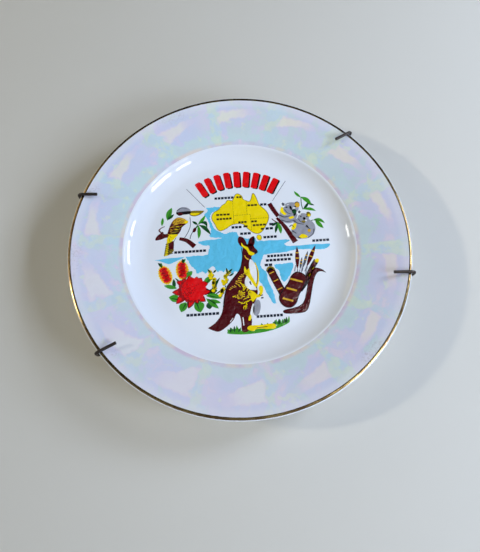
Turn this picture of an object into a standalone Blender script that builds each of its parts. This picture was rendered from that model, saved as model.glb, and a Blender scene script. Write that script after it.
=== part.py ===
"""A porcelain souvenir plate on a sprung wire wall hanger.

The plate's axis lies along Y and its face looks towards -Y. +Z runs up the hanger, and the origin is the
inside top of the hanging loop, where the nail bears, in the plane of the hanger's wires.
"""

import math

import bpy
from mathutils import Matrix, Vector

MM = 0.001

# Plate: radii from its axis, depths behind the highest line of the lip.
PLATE_RADIUS = 100 * MM
PLATE_HEIGHT = 18 * MM
LIP_THICKNESS = 3.2 * MM
SHOULDER_RADIUS = 68.7 * MM
SHOULDER_DEPTH = 7 * MM
WELL_FLOOR_RADIUS = 61.7 * MM
WELL_DEPTH = 11.6 * MM
LIP_CREST_INSET = 1.4 * MM
LIP_ROUNDING_DEPTH = 0.6 * MM
UNDERSIDE_OUT = 2.8 * MM
UNDERSIDE_BACK = 2.9 * MM
FOOT_OUTER_RADIUS = 56.5 * MM
FOOT_WIDTH = 3 * MM
FOOT_HEIGHT = 3 * MM
FOOT_FLARE = 0.8 * MM
PLATE_SEGMENTS = 60

# Hanger wires.
WIRE_DIAMETER = 1.8 * MM
FOOT_GAP = 0.3 * MM
UPPER_CLAW_ANGLE = math.radians(32.3)
LOWER_CLAW_ANGLE = math.radians(-25.3)
UPPER_LEG_LENGTH = 10 * MM
LOWER_LEG_LENGTH = 11 * MM
CLAW_MOUTH = 4.6 * MM
CLAW_RIM_GAP = 0.35 * MM
CLAW_BEND_RADIUS = 2.3 * MM
ARM_BEND_OVERHANG = 2.5 * MM
ARM_BEND_RADIUS = 8 * MM
SPRING_BEND_RADIUS = 3 * MM
LOOP_RADIUS = 4.5 * MM
DIP_RADIUS = 6 * MM
ARC_STEP = math.radians(24)

# Bends of the wires, as offsets (x, z) from the plate's axis.
UPPER_SPRING_BEND = (18 * MM, 36.5 * MM)
LOWER_SPRING_BEND = (18 * MM, -25 * MM)
LOOP_BEND_HEIGHT = 92 * MM
DIP_BEND = (7 * MM, -60 * MM)

# Places of two of the bends along a wire's row of corners.
SPRING_CORNER = 4
LOOP_CORNER = 5

# Springs.
SPRING_WIRE_DIAMETER = 0.7 * MM
SPRING_COIL_RADIUS = 1.8 * MM
SPRING_TURNS = 15
SPRING_POINTS_PER_TURN = 8
HOOK_RADIUS = 1.8 * MM
HOOK_SWEEP = math.radians(300)
HOOK_GAP = 0.3 * MM
NECK_LENGTH = 2.2 * MM

FACE_DEPTH = PLATE_HEIGHT + FOOT_GAP + WIRE_DIAMETER / 2


def clear_scene():
    for thing in list(bpy.data.objects):
        bpy.data.objects.remove(thing, do_unlink=True)


def make_collection(name):
    collection = bpy.data.collections.new(name)
    bpy.context.scene.collection.children.link(collection)
    return collection


def make_material(name, colour, roughness, metallic):
    material = bpy.data.materials.new(name)
    material.use_nodes = True
    shader = material.node_tree.nodes["Principled BSDF"]
    shader.inputs["Base Color"].default_value = (*colour, 1.0)
    shader.inputs["Roughness"].default_value = roughness
    shader.inputs["Metallic"].default_value = metallic
    return material


def add_axis(name, place, collection):
    """An empty that marks a joint's axis."""
    empty = bpy.data.objects.new(name, None)
    empty.location = place
    empty.empty_display_size = 10 * MM
    collection.objects.link(empty)
    return empty


def bend(before, corner, after, radius):
    """The arc that rounds a corner: its first point, centre, axis and turn."""
    incoming = (corner - before).normalized()
    outgoing = (after - corner).normalized()
    turn = incoming.angle(outgoing)
    axis = incoming.cross(outgoing).normalized()
    first = corner - incoming * radius * math.tan(turn / 2)
    centre = first + axis.cross(incoming) * radius
    return first, centre, axis, turn


def rounded_path(corners):
    """Straight runs joined by arcs, from (point, bend radius) pairs. The end radii aren't used."""
    points = [corners[0][0]]
    for (before, _), (corner, radius), (after, _) in zip(corners, corners[1:], corners[2:]):
        first, centre, axis, turn = bend(before, corner, after, radius)
        steps = max(2, math.ceil(turn / ARC_STEP))
        for step in range(steps + 1):
            rotation = Matrix.Rotation(turn * step / steps, 3, axis)
            points.append(centre + rotation @ (first - centre))
    points.append(corners[-1][0])
    return points


def add_wire(name, points, diameter, sides_level, material, collection):
    """A round wire with flat cut ends along a row of points."""
    curve = bpy.data.curves.new(name, "CURVE")
    curve.dimensions = "3D"
    curve.bevel_depth = diameter / 2
    curve.bevel_resolution = sides_level
    curve.use_fill_caps = True
    spline = curve.splines.new("POLY")
    spline.points.add(len(points) - 1)
    for target, point in zip(spline.points, points):
        target.co = (*point, 1.0)
    wire = bpy.data.objects.new(name, curve)
    curve.materials.append(material)
    collection.objects.link(wire)
    return wire


def plate_profile():
    """The plate's half section, from the well's centre out over the lip and back under the foot ring."""
    crest_radius = PLATE_RADIUS - LIP_CREST_INSET
    recess_depth = PLATE_HEIGHT - FOOT_HEIGHT
    foot_inner_radius = FOOT_OUTER_RADIUS - FOOT_WIDTH
    radius_depth_rounding = [
        (0, WELL_DEPTH, 0),
        (WELL_FLOOR_RADIUS, WELL_DEPTH, 25 * MM),
        (SHOULDER_RADIUS, SHOULDER_DEPTH, 4 * MM),
        (crest_radius, 0, 1.2 * MM),
        (PLATE_RADIUS, LIP_ROUNDING_DEPTH, 0.8 * MM),
        (PLATE_RADIUS, LIP_THICKNESS - LIP_ROUNDING_DEPTH, 0.8 * MM),
        (crest_radius, LIP_THICKNESS, 1.2 * MM),
        (SHOULDER_RADIUS + UNDERSIDE_OUT, SHOULDER_DEPTH + UNDERSIDE_BACK, 5 * MM),
        (WELL_FLOOR_RADIUS + UNDERSIDE_OUT, WELL_DEPTH + UNDERSIDE_BACK, 7 * MM),
        (FOOT_OUTER_RADIUS + FOOT_FLARE, recess_depth + FOOT_FLARE, 1 * MM),
        (FOOT_OUTER_RADIUS, PLATE_HEIGHT, 0.5 * MM),
        (foot_inner_radius, PLATE_HEIGHT, 0.5 * MM),
        (foot_inner_radius - FOOT_FLARE, recess_depth, 0.6 * MM),
        (0, recess_depth, 0),
    ]
    corners = [(Vector((radius, 0, -depth)), rounding) for radius, depth, rounding in radius_depth_rounding]
    return rounded_path(corners)


def add_plate(centre, material, collection):
    """The plate turned about its own +Z, which its object's rotation lays along -Y."""
    points = plate_profile()
    edges = [(index, index + 1) for index in range(len(points) - 1)]
    mesh = bpy.data.meshes.new("porcelain_plate")
    mesh.from_pydata(points, edges, [])
    mesh.materials.append(material)
    plate = bpy.data.objects.new("porcelain_plate", mesh)
    collection.objects.link(plate)
    turning = plate.modifiers.new("Turned", "SCREW")
    turning.axis = "Z"
    turning.steps = PLATE_SEGMENTS
    turning.render_steps = PLATE_SEGMENTS
    turning.use_merge_vertices = True
    turning.merge_threshold = 0.01 * MM
    turning.use_smooth_shade = True
    plate.rotation_euler = (math.pi / 2, 0, 0)
    plate.parent = add_axis("plate_turning_axis", centre, collection)
    return plate


def arm_corners(spring_bend, claw_angle, leg_length):
    """One arm's corners, from its claw's tip to its spring bend, about the plate's axis.

    The arm runs straight in plan from the spring bend to where it crosses the rim. It lies flat behind the
    foot ring, climbs behind the rim, turns over the lip and ends as a leg parallel to the plate's face.
    """
    inner = Vector((spring_bend[0], 0, spring_bend[1]))
    crossing = Vector((math.cos(claw_angle), 0, math.sin(claw_angle))) * PLATE_RADIUS
    outward = (crossing - inner).normalized()

    def reach(radius):
        """The point of the arm's straight line at a distance from the plate's axis."""
        along = inner.dot(outward)
        return inner + outward * (math.sqrt(along**2 + radius**2 - inner.length_squared) - along)

    front = Vector((0, -FACE_DEPTH - FOOT_GAP - WIRE_DIAMETER / 2, 0))
    back = front + Vector((0, CLAW_MOUTH + WIRE_DIAMETER, 0))
    turn_over = reach(PLATE_RADIUS + CLAW_RIM_GAP + WIRE_DIAMETER / 2)
    return [
        (crossing - outward * leg_length + front, 0),
        (turn_over + front, CLAW_BEND_RADIUS),
        (turn_over + back, CLAW_BEND_RADIUS),
        (reach(FOOT_OUTER_RADIUS + ARM_BEND_OVERHANG), ARM_BEND_RADIUS),
        (inner, SPRING_BEND_RADIUS),
    ]


def mirrored(corners):
    """A right-hand run of corners followed by its mirror image on the left."""
    left = [(Vector((-point.x, point.y, point.z)), radius) for point, radius in reversed(corners)]
    return corners + left


def upper_corners():
    right = arm_corners(UPPER_SPRING_BEND, UPPER_CLAW_ANGLE, UPPER_LEG_LENGTH)
    loop = [(Vector((0, 0, LOOP_BEND_HEIGHT)), LOOP_RADIUS)]
    return right + loop + mirrored(right)[len(right):]


def lower_corners():
    right = arm_corners(LOWER_SPRING_BEND, LOWER_CLAW_ANGLE, LOWER_LEG_LENGTH)
    dip = [(Vector((DIP_BEND[0], 0, DIP_BEND[1])), DIP_RADIUS)]
    return mirrored(right + dip)


def arc_extreme(corners, index, up):
    """The point of one corner's arc that lies furthest along Z: up is +1 for its top, -1 for its foot."""
    (before, _), (corner, radius), (after, _) = corners[index - 1:index + 2]
    centre = bend(before, corner, after, radius)[1]
    return centre + Vector((0, 0, up * radius))


def hook_and_neck(seat, towards_body):
    """A hook round the wire at seat, then the neck that opens out into the coil.

    The hook is an open ring in the YZ plane, and the neck is a spiral that leaves it at its nearest point
    to the coil. towards_body is +1 or -1, the coil's side along Z.
    """
    bearing = WIRE_DIAMETER / 2 + HOOK_GAP + SPRING_WIRE_DIAMETER / 2
    centre = seat + Vector((0, 0, towards_body * (HOOK_RADIUS - bearing)))
    points = []
    hook_steps = 10
    for step in range(hook_steps):
        angle = HOOK_SWEEP * (1 - step / hook_steps)
        offset = (0, HOOK_RADIUS * math.sin(angle), towards_body * HOOK_RADIUS * math.cos(angle))
        points.append(centre + Vector(offset))
    neck_steps = 5
    for step in range(neck_steps):
        part = step / neck_steps
        angle = -math.pi / 2 - towards_body * math.pi / 2 * part**2
        radius = SPRING_COIL_RADIUS * part
        rise = towards_body * (HOOK_RADIUS + NECK_LENGTH * part)
        points.append(centre + Vector((radius * math.cos(angle), radius * math.sin(angle), rise)))
    return points


def spring_path(upper_seat, lower_seat):
    """The whole spring: upper hook, coil and lower hook."""
    top = hook_and_neck(upper_seat, -1)
    bottom = hook_and_neck(lower_seat, 1)
    inset = WIRE_DIAMETER / 2 + HOOK_GAP + SPRING_WIRE_DIAMETER / 2 - 2 * HOOK_RADIUS - NECK_LENGTH
    coil_top = upper_seat.z + inset
    coil_bottom = lower_seat.z - inset
    turns = SPRING_TURNS + 0.5
    count = round(turns * SPRING_POINTS_PER_TURN)
    coil = []
    for index in range(count + 1):
        part = index / count
        angle = turns * math.tau * part
        height = coil_top + (coil_bottom - coil_top) * part
        x = upper_seat.x + SPRING_COIL_RADIUS * math.cos(angle)
        coil.append(Vector((x, upper_seat.y + SPRING_COIL_RADIUS * math.sin(angle), height)))
    return top + coil + bottom[::-1]


def build():
    clear_scene()
    collection = make_collection("souvenir_plate")
    glaze = make_material("white_glaze", (0.84, 0.86, 0.88), 0.12, 0.0)
    dark_wire = make_material("blackened_wire", (0.03, 0.025, 0.022), 0.42, 0.7)
    steel = make_material("spring_steel", (0.42, 0.40, 0.37), 0.35, 1.0)

    upper = upper_corners()
    lower = lower_corners()
    loop_inner_top = arc_extreme(upper, LOOP_CORNER, 1).z - WIRE_DIAMETER / 2
    axis_point = Vector((0, 0, -loop_inner_top))

    add_plate(axis_point + Vector((0, -FACE_DEPTH, 0)), glaze, collection)
    upper_wire = add_wire("upper_hanger_wire", rounded_path(upper), WIRE_DIAMETER, 3, dark_wire, collection)
    upper_wire.location = axis_point
    lower_wire = add_wire("lower_hanger_wire", rounded_path(lower), WIRE_DIAMETER, 3, dark_wire, collection)
    lower_wire.parent = add_axis("lower_wire_slide_axis", axis_point, collection)

    upper_seat = arc_extreme(upper, SPRING_CORNER, -1)
    lower_seat = arc_extreme(lower, SPRING_CORNER, 1)
    lower_seat.x = upper_seat.x
    for name, side in (("left_hanger_spring", -1), ("right_hanger_spring", 1)):
        seats = [Vector((side * seat.x, seat.y, seat.z)) for seat in (upper_seat, lower_seat)]
        spring = add_wire(name, spring_path(*seats), SPRING_WIRE_DIAMETER, 2, steel, collection)
        spring.location = axis_point


build()
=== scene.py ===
import math
import random

import bmesh
import bpy
from mathutils import Matrix, Vector, geometry


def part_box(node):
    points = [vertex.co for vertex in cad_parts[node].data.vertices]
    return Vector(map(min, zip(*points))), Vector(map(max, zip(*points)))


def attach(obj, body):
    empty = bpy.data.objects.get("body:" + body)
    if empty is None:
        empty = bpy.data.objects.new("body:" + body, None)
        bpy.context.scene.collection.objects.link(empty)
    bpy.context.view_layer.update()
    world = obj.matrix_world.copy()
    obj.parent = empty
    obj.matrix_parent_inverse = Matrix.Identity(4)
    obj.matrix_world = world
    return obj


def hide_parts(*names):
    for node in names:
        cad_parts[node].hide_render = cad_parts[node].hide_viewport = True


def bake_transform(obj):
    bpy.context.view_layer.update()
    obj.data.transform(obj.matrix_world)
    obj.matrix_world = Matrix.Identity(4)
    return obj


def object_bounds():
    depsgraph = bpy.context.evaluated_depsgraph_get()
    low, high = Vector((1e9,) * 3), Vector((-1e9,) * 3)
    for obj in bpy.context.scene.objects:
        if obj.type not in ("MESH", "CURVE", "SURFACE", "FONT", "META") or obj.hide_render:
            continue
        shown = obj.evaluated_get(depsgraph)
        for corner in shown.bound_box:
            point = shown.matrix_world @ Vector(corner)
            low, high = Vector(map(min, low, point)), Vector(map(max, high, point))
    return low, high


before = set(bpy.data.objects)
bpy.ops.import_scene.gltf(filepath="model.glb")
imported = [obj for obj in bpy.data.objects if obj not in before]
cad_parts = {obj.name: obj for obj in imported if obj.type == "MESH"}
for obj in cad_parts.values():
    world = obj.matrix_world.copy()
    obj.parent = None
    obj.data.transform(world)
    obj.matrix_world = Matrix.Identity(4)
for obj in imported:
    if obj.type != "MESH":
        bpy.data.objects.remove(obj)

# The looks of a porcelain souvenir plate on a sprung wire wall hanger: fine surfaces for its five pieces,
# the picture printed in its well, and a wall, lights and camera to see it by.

cad_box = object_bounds()

MM = 0.001

# The plate as the frame holds it.
PLATE_LOW, PLATE_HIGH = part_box("porcelain_plate")
PLATE_RADIUS = (PLATE_HIGH.x - PLATE_LOW.x) / 2
PLATE_HEIGHT = PLATE_HIGH.y - PLATE_LOW.y
PLATE_CENTRE = Vector(((PLATE_LOW.x + PLATE_HIGH.x) / 2, PLATE_LOW.y, (PLATE_LOW.z + PLATE_HIGH.z) / 2))

# Plate section: radii from its axis, depths behind the highest line of the lip.
LIP_THICKNESS = 3.2 * MM
SHOULDER_RADIUS = 68.7 * MM
SHOULDER_DEPTH = 7 * MM
WELL_FLOOR_RADIUS = 61.7 * MM
WELL_DEPTH = 11.6 * MM
LIP_CREST_INSET = 1.4 * MM
LIP_ROUNDING_DEPTH = 0.6 * MM
UNDERSIDE_OUT = 2.8 * MM
UNDERSIDE_BACK = 2.9 * MM
FOOT_OUTER_RADIUS = 56.5 * MM
FOOT_WIDTH = 3 * MM
FOOT_HEIGHT = 3 * MM
FOOT_FLARE = 0.8 * MM
LUSTRE_INNER_RADIUS = 69.6 * MM
GOLD_INNER_RADIUS = 97.9 * MM
GOLD_OUTER_RADIUS = 99.45 * MM
PLATE_SEGMENTS = 288
PROFILE_ARC_STEP = math.radians(4)
DAB_COUNT = 14
DAB_START = 0.673

# Hanger wires and springs.
WIRE_RADIUS = 0.9 * MM
FOOT_GAP = 0.3 * MM
UPPER_CLAW_ANGLE = math.radians(32.3)
LOWER_CLAW_ANGLE = math.radians(-25.3)
UPPER_LEG_LENGTH = 10 * MM
LOWER_LEG_LENGTH = 11 * MM
CLAW_MOUTH = 4.6 * MM
CLAW_RIM_GAP = 0.35 * MM
CLAW_BEND_RADIUS = 2.3 * MM
ARM_BEND_OVERHANG = 2.5 * MM
ARM_BEND_RADIUS = 8 * MM
SPRING_BEND_RADIUS = 3 * MM
LOOP_RADIUS = 4.5 * MM
DIP_RADIUS = 6 * MM
UPPER_SPRING_BEND = (18 * MM, 36.5 * MM)
LOWER_SPRING_BEND = (18 * MM, -25 * MM)
LOOP_BEND_HEIGHT = 92 * MM
DIP_BEND = (7 * MM, -60 * MM)
SPRING_CORNER = 4
WIRE_ARC_STEP = math.radians(6)
WIRE_SIDES = 20
SPRING_WIRE_RADIUS = 0.35 * MM
SPRING_COIL_RADIUS = 1.8 * MM
SPRING_TURNS = 40
SPRING_POINTS_PER_TURN = 14
SPRING_SIDES = 8
HOOK_RADIUS = 1.8 * MM
HOOK_SWEEP = math.radians(300)
HOOK_GAP = 0.3 * MM
NECK_LENGTH = 2.2 * MM

# The printed picture, in millimetres from the plate's axis, turned clockwise on the well's floor.
PICTURE_TURN = math.radians(10.6)
PICTURE_SCALE = 0.985
PICTURE_SHIFT = (0.02, -1.6)
INK_STEP = 0.012
INK_SINK = 0.004

# The viewer stands below the plate and looks up. The hanger's own upright leans from the viewer's.
VIEWER_LEAN = math.radians(14.6)
VIEWER_AXES = Matrix.Rotation(VIEWER_LEAN, 4, "Y")
CAMERA_PLACE = Vector((1.1, -265.0, -106.8)) * MM
CAMERA_PITCH = math.radians(18.0)
CAMERA_YAW = math.radians(-0.2)
CAMERA_LENS = 32.02
SENSOR_LONG_SIDE = 36.0

# The room. The wall stands just clear of the hanger, and the floor is well below the plate.
WALL_GAP = 4.2 * MM
WALL_SIZE = 5.0
FLOOR_SIZE = 6.0
FLOOR_LEVEL = -0.8
ROOM_GLOW = 0.03

# Strips that only show as reflections in the well: name, start, end, width and power. Places are metres
# right, away and up for the viewer, from the plate's middle.
GLINTS = (
    ("low_glint_near", (0.30, -0.885, -0.25), (0.39, -0.865, -0.17), 0.085, 0.5),
    ("low_glint_far", (0.425, -0.84, -0.16), (0.53, -0.80, -0.03), 0.12, 1.0),
    ("high_glint_near", (0.575, -0.735, 0.19), (0.57, -0.71, 0.285), 0.08, 0.4),
    ("high_glint_far", (0.59, -0.67, 0.31), (0.56, -0.63, 0.45), 0.07, 0.5),
    ("left_glint", (-0.575, -0.73, 0.22), (-0.575, -0.705, 0.29), 0.07, 0.26),
)


# ---------------------------------------------------------------- node and material helpers

def set_input(tree, socket, value):
    if isinstance(value, bpy.types.NodeSocket):
        tree.links.new(value, socket)
    else:
        socket.default_value = value


def add_node(tree, kind, inputs=None, **settings):
    made = tree.nodes.new(kind)
    for name, value in settings.items():
        setattr(made, name, value)
    for name, value in (inputs or {}).items():
        set_input(tree, made.inputs[name], value)
    return made


def maths(tree, operation, first, second=0.0, third=0.0):
    made = add_node(tree, "ShaderNodeMath", {0: first, 1: second, 2: third}, operation=operation)
    return made.outputs[0]


def ramp_between(tree, value, low, high, out_low=0.0, out_high=1.0):
    """value's place between low and high, smoothed and held at the ends."""
    made = add_node(tree, "ShaderNodeMapRange", {
        "Value": value, "From Min": low, "From Max": high, "To Min": out_low, "To Max": out_high,
    }, interpolation_type="SMOOTHSTEP")
    return made.outputs["Result"]


def mix_colours(tree, factor, first, second, blend="MIX"):
    made = add_node(tree, "ShaderNodeMix", data_type="RGBA", blend_type=blend)
    set_input(tree, made.inputs[0], factor)
    for index, colour in ((6, first), (7, second)):
        value = colour if isinstance(colour, bpy.types.NodeSocket) else (*colour, 1.0)
        set_input(tree, made.inputs[index], value)
    return made.outputs[2]


def noise_at(tree, place, size, detail=3.0, roughness=0.5, distortion=0.0):
    """Noise whose lumps are about size metres across."""
    return add_node(tree, "ShaderNodeTexNoise", {
        "Vector": place, "Scale": 1 / size, "Detail": detail, "Roughness": roughness,
        "Distortion": distortion,
    })


def shift_place(tree, place, offset):
    return add_node(tree, "ShaderNodeVectorMath", {0: place, 1: offset}, operation="ADD").outputs[0]


def bump_from(tree, height, depth, strength=1.0):
    made = add_node(tree, "ShaderNodeBump", {"Strength": strength, "Distance": depth, "Height": height})
    return made.outputs["Normal"]


def start_material(name, **shader_values):
    """A new material: itself, its node tree, its shader and the object's own coordinates."""
    material = bpy.data.materials.new(name)
    material.use_nodes = True
    tree = material.node_tree
    shader = tree.nodes["Principled BSDF"]
    for socket, value in shader_values.items():
        shader.inputs[socket.replace("_", " ")].default_value = value
    place = add_node(tree, "ShaderNodeTexCoord").outputs["Object"]
    return material, tree, shader, place


def linear(red, green, blue):
    """A display colour, 0 to 255, as the shader's linear one."""
    return tuple(
        value / 12.92 if value <= 0.04045 else ((value + 0.055) / 1.055) ** 2.4
        for value in (red / 255, green / 255, blue / 255)
    )


# ---------------------------------------------------------------- materials of the plate

def iron_specks(tree, place, spacing, radius, share):
    """A mask of rare round dark specks in the glaze."""
    cells = add_node(tree, "ShaderNodeTexVoronoi", {"Vector": place, "Scale": 1 / spacing})
    near = ramp_between(tree, cells.outputs["Distance"], radius / spacing, 0.4 * radius / spacing)
    chosen = add_node(tree, "ShaderNodeSeparateColor", {"Color": cells.outputs["Color"]}).outputs["Red"]
    return maths(tree, "MULTIPLY", near, maths(tree, "LESS_THAN", chosen, share))


def white_glaze():
    material, tree, shader, place = start_material("white_glaze", IOR=1.52)
    cloud = noise_at(tree, place, 34 * MM, detail=4).outputs["Fac"]
    colour = mix_colours(tree, cloud, (0.80, 0.82, 0.835), (0.87, 0.875, 0.865))
    fine = noise_at(tree, place, 3 * MM, detail=5, roughness=0.6).outputs["Fac"]
    colour = mix_colours(tree, maths(tree, "MULTIPLY", fine, 0.06), colour, (0.70, 0.69, 0.66))
    specks = iron_specks(tree, place, 15 * MM, 0.22 * MM, 0.22)
    colour = mix_colours(tree, maths(tree, "MULTIPLY", specks, 0.7), colour, (0.16, 0.12, 0.09))
    set_input(tree, shader.inputs["Base Color"], colour)
    set_input(tree, shader.inputs["Roughness"], ramp_between(tree, cloud, 0.3, 0.7, 0.012, 0.03))
    ripple = noise_at(tree, place, 7 * MM, detail=2).outputs["Fac"]
    set_input(tree, shader.inputs["Normal"], bump_from(tree, ripple, 0.012 * MM, 0.5))
    return material


def bisque():
    """The dry, unglazed face of the foot ring."""
    material, tree, shader, place = start_material("bisque", IOR=1.45)
    grain = noise_at(tree, place, 0.5 * MM, detail=4, roughness=0.7).outputs["Fac"]
    dirt = noise_at(tree, place, 9 * MM, detail=4).outputs["Fac"]
    colour = mix_colours(tree, grain, (0.58, 0.55, 0.50), (0.74, 0.71, 0.66))
    colour = mix_colours(tree, ramp_between(tree, dirt, 0.52, 0.72, 0.0, 0.6), colour, (0.36, 0.33, 0.29))
    set_input(tree, shader.inputs["Base Color"], colour)
    set_input(tree, shader.inputs["Roughness"], ramp_between(tree, grain, 0.2, 0.8, 0.65, 0.9))
    set_input(tree, shader.inputs["Normal"], bump_from(tree, grain, 0.05 * MM, 0.8))
    return material


def dab_layout(tree, place):
    """Where a point lies in the ring of lustre dabs: radius, how far along its dab, the dab's chances."""
    axes = add_node(tree, "ShaderNodeSeparateXYZ", {"Vector": place})
    across, up = axes.outputs["X"], axes.outputs["Z"]
    squares = maths(tree, "MULTIPLY_ADD", across, across, maths(tree, "MULTIPLY", up, up))
    radius = maths(tree, "SQRT", squares)
    wander = noise_at(tree, place, 9 * MM, detail=2).outputs["Fac"]
    turned = maths(tree, "ADD", maths(tree, "ARCTAN2", up, across),
                   ramp_between(tree, wander, 0.2, 0.8, -0.03, 0.03))
    cell = maths(tree, "MULTIPLY_ADD", turned, DAB_COUNT / math.tau, DAB_COUNT + DAB_START)
    number = maths(tree, "MODULO", maths(tree, "FLOOR", cell), DAB_COUNT)
    each = add_node(tree, "ShaderNodeTexWhiteNoise", {"W": number}, noise_dimensions="1D")
    chances = add_node(tree, "ShaderNodeSeparateColor", {"Color": each.outputs["Color"]})
    lean = maths(tree, "ADD", across, up)
    low_left = ramp_between(tree, lean, -30 * MM, -110 * MM)
    return radius, maths(tree, "FRACT", cell), chances, low_left


def brush_dabs(tree, place, radius, along, chances, low_left):
    """Masks of the wedge-shaped lustre dabs: each one whole, and its yellow core.

    The ones at the lower left are fatter.
    """
    spread = maths(tree, "MULTIPLY_ADD", low_left, 4.2 * MM, 2.4 * MM)
    spread = maths(tree, "MULTIPLY_ADD", chances.outputs["Green"], 1.6 * MM, spread)
    half_width = maths(tree, "MULTIPLY_ADD", maths(tree, "POWER", along, 1.5), spread, 0.9 * MM)
    top_edge = maths(tree, "MULTIPLY_ADD", chances.outputs["Red"], 2.0 * MM, 91.4 * MM)
    top_edge = maths(tree, "MULTIPLY_ADD", along, -1.6 * MM, top_edge)
    middle = maths(tree, "SUBTRACT", top_edge, half_width)
    edge = noise_at(tree, place, 4 * MM, detail=2).outputs["Fac"]
    off = maths(tree, "ABSOLUTE", maths(tree, "SUBTRACT", radius, middle))
    off = maths(tree, "ADD", off, ramp_between(tree, edge, 0.2, 0.8, -0.8 * MM, 0.8 * MM))
    gap = maths(tree, "SUBTRACT", half_width, off)
    stop = ramp_between(tree, along, 0.97, 0.93)
    whole = maths(tree, "MULTIPLY", ramp_between(tree, gap, -0.9 * MM, 0.5 * MM),
                  maths(tree, "MULTIPLY", stop, ramp_between(tree, along, 0.18, 0.55)))
    core_stop = ramp_between(tree, along, 0.955, 0.90)
    core = maths(tree, "MULTIPLY", ramp_between(tree, gap, -0.1 * MM, 1.3 * MM),
                 maths(tree, "MULTIPLY", core_stop, ramp_between(tree, along, 0.42, 0.75)))
    strength = maths(tree, "MULTIPLY_ADD", chances.outputs["Blue"], 0.5, 0.4)
    return maths(tree, "MULTIPLY", whole, 0.7), maths(tree, "MULTIPLY", core, strength)


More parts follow.
